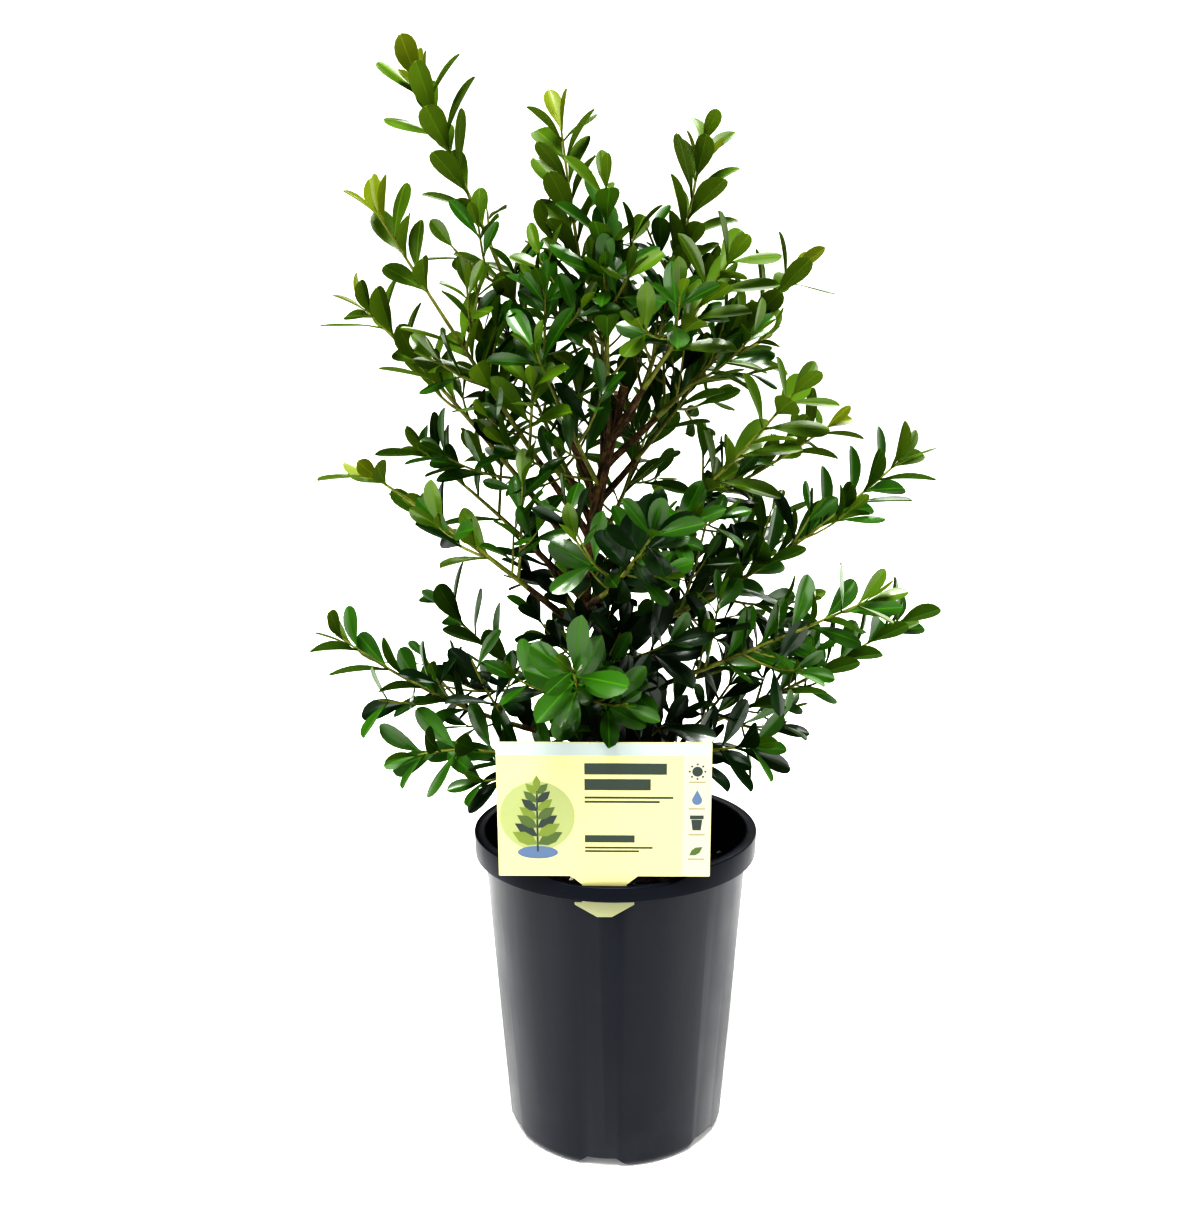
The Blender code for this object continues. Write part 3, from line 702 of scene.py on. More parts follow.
TRUNK_FOOT = 0.1323
TRUNK_TOP = 0.369
TRUNK_BOW = 0.018
TRUNK_LEAN = 0.004
TRUNK_RADII = ((0.0, 0.0062), (0.03, 0.0046), (0.08, 0.0037), (0.6, 0.0031), (1.0, 0.0022))
STUBS = ((0.352, 95, 0.008), (0.362, -120, 0.006))
STUB_RADIUS = 0.0013
KNUCKLE_HALF = 0.0035
KNUCKLE_SWELL = 0.07
BOUGH_SHARE = 0.25
BOUGH_RADIUS = 0.0019
BOUGH_TIP_RADIUS = 0.0014
SHORTEST_WITH_BOUGH = 0.111

# Each limb: name, height where it leaves the trunk, heading (0 is +X, 90 is the back), reach from the
# pot's axis, height of its tip, and how far its middle sags below a straight line. Lengths are mm.
LIMBS = (
    ("top_left", 314, -171, 94, 515, -4),
    ("upper_left", 298, -157, 117, 453, 2),
    ("left_shoulder", 284, 175, 127, 413, -6),
    ("leader", 348, -169, 27, 500, 14),
    ("leader_front", 338, -95, 45, 466, 5),
    ("top_right", 345, 4, 44, 504, 32),
    ("upper_right_front", 346, -41, 76, 435, 0),
    ("upper_right", 332, 12, 95, 431, 3),
    ("right_front", 280, -30, 99, 378, 10),
    ("right_back", 296, 19, 124, 357, 8),
    ("right", 244, -4, 144, 346, 14),
    ("low_right", 190, 6, 156, 264, 12),
    ("low_right_front", 212, -26, 135, 283, 2),
    ("bottom_right", 174, -26, 88, 206, -6),
    ("low_left", 198, -174, 146, 264, 12),
    ("low_left_back", 212, 154, 114, 271, 8),
    ("left_front", 252, -153, 132, 341, -3),
    ("left_back", 268, 160, 114, 344, -4),
    ("bottom_left", 166, -159, 112, 198, -15),
    ("front_high", 322, -128, 66, 400, 3),
    ("front", 264, -78, 98, 320, 6),
    ("low_front", 222, -100, 104, 262, 6),
    ("bottom_front", 176, -60, 58, 226, 0),
    ("inner_left", 258, 152, 62, 318, 2),
    ("inner_front", 238, -58, 62, 264, 6),
    ("back_high", 330, 96, 70, 436, 4),
    ("back", 286, 78, 116, 364, 8),
    ("back_left", 304, 124, 106, 404, 4),
    ("low_back", 206, 98, 140, 262, 10),
    ("low_back_right", 234, 50, 132, 300, 8),
    ("back_right", 314, 46, 92, 404, 4),
)


def trunk_point(height):
    share = (height - TRUNK_FOOT) / (TRUNK_TOP - TRUNK_FOOT)
    return Vector((TRUNK_LEAN * share - TRUNK_BOW * math.sin(math.pi * share), 0, height))


def trunk_radius(height):
    share = (height - TRUNK_FOOT) / (TRUNK_TOP - TRUNK_FOOT)
    for (low, wide), (high, narrow) in zip(TRUNK_RADII, TRUNK_RADII[1:]):
        if share <= high:
            return wide + (narrow - wide) * (share - low) / (high - low)
    return TRUNK_RADII[-1][1]


class Limb:
    """One limb's line from the trunk's axis to its tip."""

    def __init__(self, row):
        self.name, rises, heading, reach, tip, sag = row
        turn = math.radians(heading)
        self.start = trunk_point(rises / 1000)
        self.tip = Vector((reach * math.cos(turn), reach * math.sin(turn), tip)) / 1000
        self.sag = sag / 1000
        self.length = (self.tip - self.start).length
        self.share = BOUGH_SHARE if self.length > SHORTEST_WITH_BOUGH else 0

    def point(self, share):
        dip = Vector((0, 0, self.sag * 4 * share * (1 - share)))
        return self.start.lerp(self.tip, share) - dip


def line_guide(name, lines):
    """A mesh of open lines. Each line is its points and the girth at each of them."""
    points, edges, girths = [], [], []
    for path, sizes in lines:
        first = len(points)
        points += path
        girths += sizes
        edges += [(i, i + 1) for i in range(first, len(points) - 1)]
    mesh = bpy.data.meshes.new(name)
    mesh.from_pydata(points, edges, [])
    mesh.attributes.new("girth", "FLOAT", "POINT").data.foreach_set("value", girths)
    return mesh


# A round limb along each line, with its relief raised and sunk along the grain. The same noise is
# kept as an attribute, so that the cracks are also where the bark is darkest.
LIMB_SIZES = ("Step", "Relief", "Grain_Length", "Grain_Width")
floats = dict.fromkeys(LIMB_SIZES, "Float")
limb_tree, given = new_tree("Limb", Sides="Int", Finish="Material", **floats)
girth = add_node(limb_tree, "GeometryNodeInputNamedAttribute", {"Name": "girth"}, data_type="FLOAT")
line = add_node(limb_tree, "GeometryNodeMeshToCurve", {"Mesh": given["Geometry"]})
stepped = {"Curve": line, "Length": given["Step"]}
line = add_node(limb_tree, "GeometryNodeResampleCurve", stepped, mode="LENGTH")
length = add_node(limb_tree, "GeometryNodeSplineParameter").outputs["Length"]
held = limb_tree.nodes.new("GeometryNodeCaptureAttribute")
held.capture_items.new("FLOAT", "along")
limb_tree.links.new(line.outputs[0], held.inputs["Geometry"])
limb_tree.links.new(length, held.inputs["along"])
rounded = {"Resolution": given["Sides"], "Radius": 1.0}
circle = add_node(limb_tree, "GeometryNodeCurvePrimitiveCircle", rounded)
position = add_node(limb_tree, "GeometryNodeInputPosition").outputs[0]
ring = limb_tree.nodes.new("GeometryNodeCaptureAttribute")
ring.capture_items.new("VECTOR", "around")
limb_tree.links.new(circle.outputs[0], ring.inputs["Geometry"])
limb_tree.links.new(position, ring.inputs["around"])
swept = {"Curve": held, "Profile Curve": ring, "Scale": girth, "Fill Caps": True}
skin = add_node(limb_tree, "GeometryNodeCurveToMesh", swept)
along, around = held.outputs["along"], ring.outputs["around"]
down = add_node(limb_tree, "ShaderNodeMath", {0: along, 1: given["Grain Length"]}, operation="DIVIDE")
lengthwise = add_node(limb_tree, "ShaderNodeCombineXYZ", {"Z": down})
wide = add_node(limb_tree, "ShaderNodeMath", {0: girth, 1: given["Grain Width"]}, operation="DIVIDE")
crosswise = add_node(limb_tree, "ShaderNodeVectorMath", {0: around, "Scale": wide}, operation="SCALE")
spot = add_node(limb_tree, "ShaderNodeVectorMath", {0: lengthwise, 1: crosswise}, operation="ADD")
cracked = {"Vector": spot, "Scale": 1.0, "Detail": 3.0, "Roughness": 0.65}
cracks = add_node(limb_tree, "ShaderNodeTexNoise", cracked)
rise = add_node(limb_tree, "ShaderNodeMath", {0: cracks, 1: 0.5}, operation="SUBTRACT")
rise = add_node(limb_tree, "ShaderNodeMath", {0: rise, 1: given["Relief"]}, operation="MULTIPLY")
outward = add_node(limb_tree, "GeometryNodeInputNormal")
shift = add_node(limb_tree, "ShaderNodeVectorMath", {0: outward, "Scale": rise}, operation="SCALE")
noted = {"Geometry": skin, "Name": "crack", "Value": cracks}
kept = add_node(limb_tree, "GeometryNodeStoreNamedAttribute", noted, data_type="FLOAT")
bumpy = add_node(limb_tree, "GeometryNodeSetPosition", {"Geometry": kept, "Offset": shift})
smooth = add_node(limb_tree, "GeometryNodeSetShadeSmooth", {"Geometry": bumpy})
real = add_node(limb_tree, "GeometryNodeRealizeInstances", {"Geometry": smooth})
barked = {"Geometry": real, "Material": given["Finish"]}
close_tree(limb_tree, add_node(limb_tree, "GeometryNodeSetMaterial", barked))


def grown_limbs(name, lines, finish, **sizes):
    """One piece of all these lines."""
    return grown_piece(name, line_guide(name, lines), limb_tree, Finish=finish, **sizes)


def bark_finish(name, dark, pale, roughness, bump):
    """Thin bark: dark in its cracks, paler on its ridges, matt, with a fine cork grain."""
    made, tree, shader = new_finish(name, Roughness=roughness)
    crack = add_node(tree, "ShaderNodeAttribute", attribute_name="crack").outputs["Fac"]
    ridge = add_node(tree, "ShaderNodeMapRange", {"Value": crack, "From Min": 0.36, "From Max": 0.62})
    place = add_node(tree, "ShaderNodeTexCoord").outputs["Object"]
    cork = add_node(tree, "ShaderNodeTexNoise", {"Vector": place, "Scale": 900.0, "Detail": 3.0})
    mixed = add_node(tree, "ShaderNodeMath", {0: ridge, 1: cork, 2: -0.1}, operation="MULTIPLY_ADD")
    weathered = {"Factor": mixed, 6: colour(dark), 7: colour(pale)}
    tint = add_node(tree, "ShaderNodeMix", weathered, data_type="RGBA")
    feed(tree, shader, {"Base Color": tint.outputs[2]})
    relief = add_node(tree, "ShaderNodeBump", {"Height": cork, "Strength": bump, "Distance": 0.0002})
    feed(tree, shader, {"Normal": relief})
    return made


TRUNK_STEPS = 64
BURIED = 0.004
brown_bark = bark_finish("old_boxwood_bark", "34271a", "a07e50", 0.85, 0.5)
limbs = [Limb(row) for row in LIMBS]
path, girths = [trunk_point(TRUNK_FOOT) - Vector((0, 0, BURIED))], [trunk_radius(TRUNK_FOOT)]
for i in range(TRUNK_STEPS + 1):
    height = TRUNK_FOOT + (TRUNK_TOP - TRUNK_FOOT) * i / TRUNK_STEPS
    knuckle = sum(math.exp(-(((height - limb.start.z) / KNUCKLE_HALF) ** 2)) for limb in limbs)
    path.append(trunk_point(height))
    girths.append(trunk_radius(height) * (1 + KNUCKLE_SWELL * min(knuckle, 2)))
lines = [(path, girths)]
for height, heading, length in STUBS:
    turn = math.radians(heading)
    away = Vector((math.cos(turn), math.sin(turn), 1)).normalized()
    path = [trunk_point(height) + away * length * share for share in (0, 0.5, 1)]
    lines.append((path, [STUB_RADIUS * 1.25, STUB_RADIUS, STUB_RADIUS]))
sizes = {"Step": 0.0008, "Relief": 0.0011, "Grain_Length": 0.0055, "Grain_Width": 0.0011}
trunk = grown_limbs("trunk_bark", lines, brown_bark, Sides=28, **sizes)
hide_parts("trunk")
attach(trunk, "root")

# The pruning cuts: pale boxwood, dried to tan, in a disc that fills each cut end.
cut_wood, tree, shader = new_finish("dry_cut_boxwood", Roughness=0.7)
place = add_node(tree, "ShaderNodeTexCoord").outputs["Object"]
rays = add_node(tree, "ShaderNodeTexNoise", {"Vector": place, "Scale": 1200.0, "Detail": 2.0})
rayed = {"Factor": rays, 6: colour("b98a58"), 7: colour("e2c394")}
tan = add_node(tree, "ShaderNodeMix", rayed, data_type="RGBA")
feed(tree, shader, {"Base Color": tan.outputs[2]})
form = bmesh.new()
for path, girths in lines:
    away = (path[-1] - path[-2]).normalized()
    place = Matrix.Translation(path[-1]) @ away.to_track_quat("Z", "Y").to_matrix().to_4x4()
    disc = {"radius1": girths[-1] * 0.96, "radius2": girths[-1] * 0.8, "depth": 0.0006, "matrix": place}
    bmesh.ops.create_cone(form, cap_ends=True, segments=20, **disc)
mesh = bpy.data.meshes.new("pruning_cuts")
form.to_mesh(mesh)
form.free()
smooth_by_angle(mesh, 30)
cuts = add_piece("pruning_cuts", mesh, cut_wood)
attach(cuts, "root")

# Boughs start in the trunk's own wood, wide at the collar.
lines = []
for limb in limbs:
    if not limb.share:
        continue
    shares = [limb.share * i / 12 for i in range(13)]
    path = [limb.point(share) for share in shares]
    sizes = [BOUGH_RADIUS + (BOUGH_TIP_RADIUS - BOUGH_RADIUS) * share / limb.share for share in shares]
    sizes[0], sizes[1] = sizes[0] * 1.35, sizes[1] * 1.15
    lines.append((path, sizes))
sizes = {"Step": 0.0010, "Relief": 0.0006, "Grain_Length": 0.0045, "Grain_Width": 0.0009}
boughs = grown_limbs("bough_bark", lines, brown_bark, Sides=16, **sizes)
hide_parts(*[f"bough_{limb.name}" for limb in limbs if limb.share])
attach(boughs, "root")


# ---- Stems and twigs ----
# Each bough goes on as a thin green-brown stem to the limb's tip. Twigs leave it at a slant, each a
# third of a turn and a bit from the last, bend up to the light, and carry short sprigs of their own.

STEM_RADIUS = 0.0013
STEM_TIP_RADIUS = 0.0005
STEM_STEPS = 12
TIP_LEAVES = 0.014
TWIG_RADIUS = 0.0008
TWIG_LENGTH = 0.046
TWIG_SPACING = 0.034
TWIG_FOOT = 0.06
TWIG_REACH = 0.55
TWIG_SPREAD = math.radians(48)
TWIG_STEPS = 6
TWIG_BEND = 0.60
SPRIG_LENGTH = 0.024
SPRIG_RADIUS = 0.0006
SPRIG_FOOT = 0.008
SPRIG_SPACING = 0.025
SPRIG_REACH = 0.50
LINE_CLEARANCE = 0.0016
LOOK_STEP = 0.003
MARK_STEP = 0.002
FLANKS = (-150, -90, -30, 30, 90, 150)
FLANK_FOOT = 0.146
FLANK_TOP = 0.290
CROWN_FOOT = 0.16
CROWN_HEIGHT = 0.35
CROWN_REACH = 0.15
# Leaves are lighter higher up and further out: partly new growth, partly painted shade lower down and
# inside.
TONE_BY_HEIGHT = 0.50
TONE_BY_REACH = 0.32
TONE_SPREAD = 0.13
GOLDEN_TURN = math.radians(137)
SEED = 7
GROWTH_SEED = 35


# Gaps in the crown, as the plant is seen from the front: how far right of the pot's axis, how high,
# and how wide from the middle out. Lengths are mm.
DAYLIGHT = (
    (-53, 486, 15), (-51, 467, 11), (-48, 445, 5), (-92, 476, 8), (-119, 443, 9), (-88, 441, 4),
    (-74, 440, 4), (-65, 433, 5), (-117, 387, 8), (-120, 362, 12), (-105, 359, 10), (-73, 359, 4),
    (-115, 307, 11), (-104, 288, 14), (-128, 285, 15), (-108, 268, 9), (-60, 272, 5), (-129, 223, 11),
    (-61, 314, 6), (-75, 323, 3), (-6, 317, 5), (-11, 294, 3), (6, 329, 6), (19, 344, 5),
    (34, 334, 7), (36, 366, 4), (42, 301, 5), (-27, 316, 3), (60, 343, 5), (49, 396, 4),
    (88, 399, 12), (77, 328, 7), (105, 293, 11), (124, 295, 13), (90, 284, 5), (134, 220, 13),
    (117, 211, 12), (100, 194, 7), (74, 228, 4), (-34, 243, 3), (-34, 262, 4), (-42, 223, 3),
    (23, 267, 3), (11, 486, 15), (14, 467, 8), (9, 450, 4), (78, 464, 15), (71, 441, 5),
    (113, 385, 16), (-34, 303, 3), (52, 353, 6), (64, 356, 4), (6, 460, 6), (-44, 459, 6),
    (98, 209, 7), (142, 236, 7), (120, 226, 8), (136, 311, 7), (105, 425, 7), (-114, 505, 7),
    (-122, 477, 8), (-47, 439, 6), (-84, 407, 4), (-79, 400, 3), (-71, 437, 4), (-72, 386, 4),
    (-107, 430, 4), (-130, 317, 6), (-100, 306, 5), (-85, 281, 4), (-137, 273, 6), (-119, 264, 5),
    (-97, 254, 6), (-134, 241, 4), (-64, 259, 5), (-72, 247, 4), (72, 359, 4), (106, 234, 4),
    (143, 247, 4), (159, 254, 6), (-100, 371, 5), (-90, 364, 4), (-69, 353, 4), (-92, 529, 6),
    (2, 474, 4), (89, 307, 3), (-99, 327, 7), (-79, 319, 5), (-75, 344, 4), (-127, 323, 4),
    (-82, 292, 4), (-88, 243, 6), (-53, 327, 3), (-50, 314, 4), (-122, 255, 4), (-96, 275, 3),
)  # fmt: skip


def in_daylight(point):
    """Whether this point lies where daylight shows through the crown, as seen from the front."""
    eye = camera.location
    share = eye.y / (eye.y - point.y)
    x, z = eye.x + (point.x - eye.x) * share, eye.z + (point.z - eye.z) * share
    gaps = ((right / 1000, up / 1000, half / 1000) for right, up, half in DAYLIGHT)
    return any(math.hypot(x - right, z - up) < half for right, up, half in gaps)


class Shoot:
    """A stem, twig or sprig: its line, its girth, and the tone of its leaves."""

    def __init__(self, limb, path, radii, tone):
        self.limb = limb
        self.path = path
        self.radii = radii
        self.tone = tone
        self.heel = []
        self.lengths = [(b - a).length for a, b in zip(path, path[1:])]
        self.length = sum(self.lengths)

    def at(self, distance):
        """The point and the heading this far along."""
        for a, b, length in zip(self.path, self.path[1:], self.lengths):
            if distance <= length:
                break
            distance -= length
        heading = (b - a).normalized()
        return a + heading * min(distance, length), heading


def side_shoot(parent, distance, turn, spread, length, radius, tone):
    """A shoot that leaves its parent at a slant and bends towards the light."""
    root, heading = parent.at(distance)
    across = heading.orthogonal().normalized()
    aside = heading.cross(across)
    out = math.cos(turn) * across + math.sin(turn) * aside
    away = math.cos(spread) * heading + math.sin(spread) * out
    path = [root]
    for _ in range(TWIG_STEPS):
        path.append(path[-1] + away * length / TWIG_STEPS)
        away = (away + Vector((0, 0, TWIG_BEND / TWIG_STEPS))).normalized()
    radii = [radius + (STEM_TIP_RADIUS - radius) * i / TWIG_STEPS for i in range(TWIG_STEPS + 1)]
    return Shoot(parent.limb, path, radii, tone)


def solid_faces(nodes):
    """The points and faces of these CAD nodes together."""
    points, faces = [], []
    for name in nodes:
        mesh = bpy.data.objects[name].data
        first = len(points)
        points += [vertex.co.copy() for vertex in mesh.vertices]
        faces += [tuple(first + i for i in face.vertices) for face in mesh.polygons]
    return points, faces


def tube_faces(shoot, sides=3):
    """A plain closed tube along a shoot, for tests of what touches it."""
    points, faces = [], []
    last = len(shoot.path) - 1
    for i, (centre, radius) in enumerate(zip(shoot.path, shoot.radii)):
        heading = (shoot.path[min(i + 1, last)] - shoot.path[max(i - 1, 0)]).normalized()
        across = heading.orthogonal().normalized()
        aside = heading.cross(across)
        for j in range(sides):
            turn = math.tau * j / sides
            points.append(centre + radius * (math.cos(turn) * across + math.sin(turn) * aside))
            if i:
                k = (j + 1) % sides
                faces.append(((i - 1) * sides + j, (i - 1) * sides + k, i * sides + k, i * sides + j))
    return points, faces


class Room:
    """The space inside the crown: what has been grown, in cubes the size of a leaf."""

    CELL = 0.030

    def __init__(self):
        self.cells = {}

    def key(self, point):
        return tuple(int(c // self.CELL) for c in point)

    def near(self, point):
        x, y, z = self.key(point)
        for i in (-1, 0, 1):
            for j in (-1, 0, 1):
                for k in (-1, 0, 1):
                    yield from self.cells.get((x + i, y + j, z + k), ())

    def add(self, point, thing):
        self.cells.setdefault(self.key(point), []).append(thing)


lowest, highest = (Vector(corner) for corner in cad_box)
hard_nodes = ["pot", "potting_mix", "plant_label", "trunk"]
hard_nodes += [f"bough_{limb.name}" for limb in limbs if limb.share]
hard = BVHTree.FromPolygons(*solid_faces(hard_nodes))
lines_taken = Room()


def has_room(shoot, skip=0.004):
    """Whether a shoot keeps clear of the pot, the trunk and all other lines, past its own root."""
    if hard.overlap(BVHTree.FromPolygons(*tube_faces(shoot))):
        return False
    steps = int(shoot.length / LOOK_STEP)
    for i in range(steps + 1):
        distance = i * shoot.length / steps
        if distance < skip:
            continue
        point = shoot.at(distance)[0]
        if any((point - other).length < LINE_CLEARANCE for other in lines_taken.near(point)):
            return False
    return True


def take_room(shoot):
    steps = max(2, int(shoot.length / MARK_STEP))
    for i in range(steps + 1):
        point = shoot.at(i * shoot.length / steps)[0]
        lines_taken.add(point, point)


def tone_of(rng, point, extra=0):
    """Leaf tone: lighter at the top and outside for new growth, darker low and inside as painted shade."""
    height = (point.z - CROWN_FOOT) / CROWN_HEIGHT
    out = math.hypot(point.x, point.y) / CROWN_REACH
    own = rng.uniform(-TONE_SPREAD, TONE_SPREAD)
    return TONE_BY_HEIGHT * height + TONE_BY_REACH * out + extra + own


rng = random.Random(SEED)
growth = random.Random(GROWTH_SEED)
stems = []
for limb in limbs:
    low = limb.share
    high = 1 - TIP_LEAVES / limb.length
    shares = [low + (high - low) * i / STEM_STEPS for i in range(STEM_STEPS + 1)]
    radii = [STEM_RADIUS + (STEM_TIP_RADIUS - STEM_RADIUS) * i / STEM_STEPS for i in range(STEM_STEPS + 1)]
    path = [limb.point(share) for share in shares]
    stem = Shoot(limb, path, radii, tone_of(growth, path[-1], 0.04))
    take_room(stem)
    stems.append(stem)

twigs = []
for stem in stems:
    count = max(2, round(stem.length / TWIG_SPACING))
    turn = rng.uniform(0, math.tau)
    for i in range(count):
        turn += GOLDEN_TURN
        distance = stem.length * (TWIG_FOOT + TWIG_REACH * i / count)
        length = TWIG_LENGTH * rng.uniform(0.8, 1.15) * (1.15 - distance / stem.length)
        twig = side_shoot(stem, distance, turn, TWIG_SPREAD, length, TWIG_RADIUS, 0)
        twig.tone = tone_of(growth, twig.path[-1])
        if has_room(twig) and not in_daylight(twig.path[-1]):
            take_room(twig)
            twigs.append(twig)

# Lines up the trunk's flanks, from which short shoots break out of the old wood near the foot
flanks = []
for heading in FLANKS:
    turn = math.radians(heading)
    out = Vector((math.cos(turn), math.sin(turn), 0))
    heights = [FLANK_FOOT + (FLANK_TOP - FLANK_FOOT) * i / STEM_STEPS for i in range(STEM_STEPS + 1)]
    path = [trunk_point(z) + out * (trunk_radius(z) + SPRIG_RADIUS + 0.0003) for z in heights]
    flanks.append(Shoot(None, path, [SPRIG_RADIUS] * len(path), 0))

sprigs = []
for parent in stems + twigs + flanks:
    turn = growth.uniform(0, math.tau)
    distance = SPRIG_FOOT + SPRIG_SPACING * growth.uniform(0, 0.6)
    while distance < parent.length * (1 if parent in flanks else SPRIG_REACH):
        turn += GOLDEN_TURN
        length = SPRIG_LENGTH * growth.uniform(0.6, 1.2)
        sprig = side_shoot(parent, distance, turn, TWIG_SPREAD, length, SPRIG_RADIUS, 0)
        sprig.tone = tone_of(growth, sprig.path[-1])
        if has_room(sprig) and not in_daylight(sprig.path[-1]):
            if parent in flanks:
                sprig.heel = [sprig.path[0].lerp(trunk_point(sprig.path[0].z), 0.5)]
            take_room(sprig)
            sprigs.append(sprig)
        distance += SPRIG_SPACING * growth.uniform(0.8, 1.2)

foliage_nodes = [f"foliage_{limb.name}" for limb in limbs]
green_bark = bark_finish("green_boxwood_bark", "5a5c1e", "b0b654", 0.6, 0.3)
for name, shoots, sides, step, relief in (
    ("stem_wood", stems, 8, 0.0022, 0.0004),
    ("twig_wood", twigs + sprigs, 6, 0.0035, 0.0002),
):
    lines = [(s.heel + s.path, s.radii[: len(s.heel)] + s.radii) for s in shoots]
    sizes = {"Step": step, "Relief": relief, "Grain_Length": 0.0060, "Grain_Width": 0.0008}
    piece = grown_limbs(name, lines, green_bark, Sides=sides, **sizes)
    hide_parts(*foliage_nodes)
    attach(piece, "root")


# ---- Leaves ----
# Boxwood leaves in opposite pairs, each pair a quarter turn from the last: leathery ovals, widest
# past the middle, on a short stalk, with a waxed upper side, a pale midrib and a dull, paler back.
# Old leaves are dark green, the year's growth yellow-green, and low, inner leaves darker as painted shade.

LEAF_LENGTH = 0.0255
LEAF_SPREAD = math.radians(48)
TIP_SPREAD = math.radians(20)
PAIR_SPACING = 0.0115
STEM_PAIRS = 0.72
ROOT_SINK = 0.0002
SUN_TURN = 0.85
LEAF_LIFT = 0.06
SUN = Vector((0, -0.65, 1))
BARE = 0.16
STEM_LEAF = 1.10
SPRIG_LEAF = 0.80
LEAF_TRIES = 4
TIP_CROWDING = 0.45
SIZE_STEP = 0.16
YOUNG_TIP = 0.16
TONE_STEP = 0.08
CORE_FOOT = 0.284
CORE_TOP = 0.385
CORE_BARE = 0.008
CORE_FULL = 0.036
LEAF_IOR = 1.42
WAXED = 0.5
DULL = 0.12

# The outline of a leaf one unit long: distance from the root, and half the width there
OUTLINE = (
    (0.0, 0.020), (0.12, 0.022), (0.26, 0.098), (0.42, 0.178), (0.58, 0.226),
    (0.72, 0.236), (0.85, 0.202), (0.94, 0.138), (1.0, 0.036),
)  # fmt: skip
RIB_HALF = 0.011
BACK_RIB_HALF = 0.009
BLADE = 0.022
STALK_END = 0.2
NOTCH_FOOT = 0.9

# Each pattern of leaf: breadth, how far the sides rise (below 0 they roll under), how far the tip
# bends back, notch at the tip
PATTERNS = (
    (0.82, 0.30, 0.12, 0.0),
    (0.73, 0.22, 0.06, 0.0),
    (0.87, -0.18, 0.16, 0.016),
    (0.68, 0.34, -0.06, 0.0),
)
UPPER, RIB, UNDER = 0, 1, 2


def leaf_mesh(name, breadth, cup, bend, notch):
    """One leaf along +Y with its upper side to +Z, and which side each face belongs to."""
    columns = (-1.0, -0.55, -RIB_HALF, RIB_HALF, 0.55, 1.0)
    points, faces, sides = [], [], []
    tops, backs = [], []
    for y, half in OUTLINE:
        half *= breadth if y > STALK_END else 1
        rise = cup * half
        sag = -bend * y * y
        row = []
        for c in columns:
            x = c if abs(c) == RIB_HALF else c * half
            lift = rise * (0.7 * abs(x / half) + 0.3 * (x / half) ** 2)
            back = notch * (1 - abs(x) / half) if y > NOTCH_FOOT else 0
            row.append(len(points))
            points.append((x, y - back, sag + lift))
        tops.append(row)
        keel = len(points)
        for x in (-BACK_RIB_HALF, BACK_RIB_HALF):
            back = notch if y > NOTCH_FOOT else 0
            points.append((x, y - back, sag - BLADE * (1.3 if y < STALK_END else 1)))
        backs.append((row[0], keel, keel + 1, row[-1]))
    for near, far in zip(tops, tops[1:]):
        for i in range(5):
            faces.append((near[i], near[i + 1], far[i + 1], far[i]))
            sides.append(RIB if i == 2 else UPPER)
    for near, far in zip(backs, backs[1:]):
        for i in range(3):
            faces.append((near[i + 1], near[i], far[i], far[i + 1]))
            sides.append(RIB if i == 1 else UNDER)
    faces.append((*tops[-1], backs[-1][2], backs[-1][1]))
    faces.append((*reversed(tops[0]), backs[0][1], backs[0][2]))
    sides += [UNDER, UNDER]
    mesh = bpy.data.meshes.new(name)
    mesh.from_pydata(points, [], faces)
    mesh.attributes.new("side", "INT", "FACE").data.foreach_set("value", sides)
    mesh.shade_smooth()
    rim = {frozenset(pair) for row in (tops[0], tops[-1]) for pair in zip(row, row[1:])}
    rim |= {frozenset(pair) for row in (backs[0], backs[-1]) for pair in zip(row, row[1:])}
    for near, far in zip(tops, tops[1:]):
        rim |= {frozenset((near[0], far[0])), frozenset((near[-1], far[-1]))}
    sharp = [frozenset(edge.vertices) in rim for edge in mesh.edges]
    mesh.attributes.new("sharp_edge", "BOOLEAN", "EDGE").data.foreach_set("value", sharp)
    return mesh


def blade_faces(root, along, face, length):
    """A leaf's blade past its stalk, as four triangles."""
    side = along.cross(face) * length * 0.20
    lift = face * length * 0.05
    points = [
        root + along * length * 0.16,
        root + along * length * 0.62 + side + lift,
        root + along * length * 0.62,
        root + along * length * 0.62 - side + lift,
        root + along * length,
    ]
    return points, [(0, 1, 2), (0, 2, 3), (4, 2, 1), (4, 3, 2)]


wood_points, wood_faces = solid_faces(hard_nodes)
for shoot in stems + twigs + sprigs:
    points, faces = tube_faces(shoot)
    wood_faces += [tuple(len(wood_points) + i for i in face) for face in faces]
    wood_points += points
wood = BVHTree.FromPolygons(wood_points, wood_faces)
blades_taken = Room()
TONES = ("shaded", "mature", "summer", "young")
TONE_STEPS = (0.32, 0.54, 0.80)
grown = {tone: [] for tone in TONES}


def tone_name(tone):
    return TONES[sum(tone >= step for step in TONE_STEPS)]


def core_leafiness(point):
    """The share of leaves that the crown keeps here: few round the trunk, where no light gets in."""
    if not CORE_FOOT < point.z < CORE_TOP:
        return 1
    away = (point - trunk_point(point.z)).length
    return min(1, max(0.1, (away - CORE_BARE) / (CORE_FULL - CORE_BARE)))


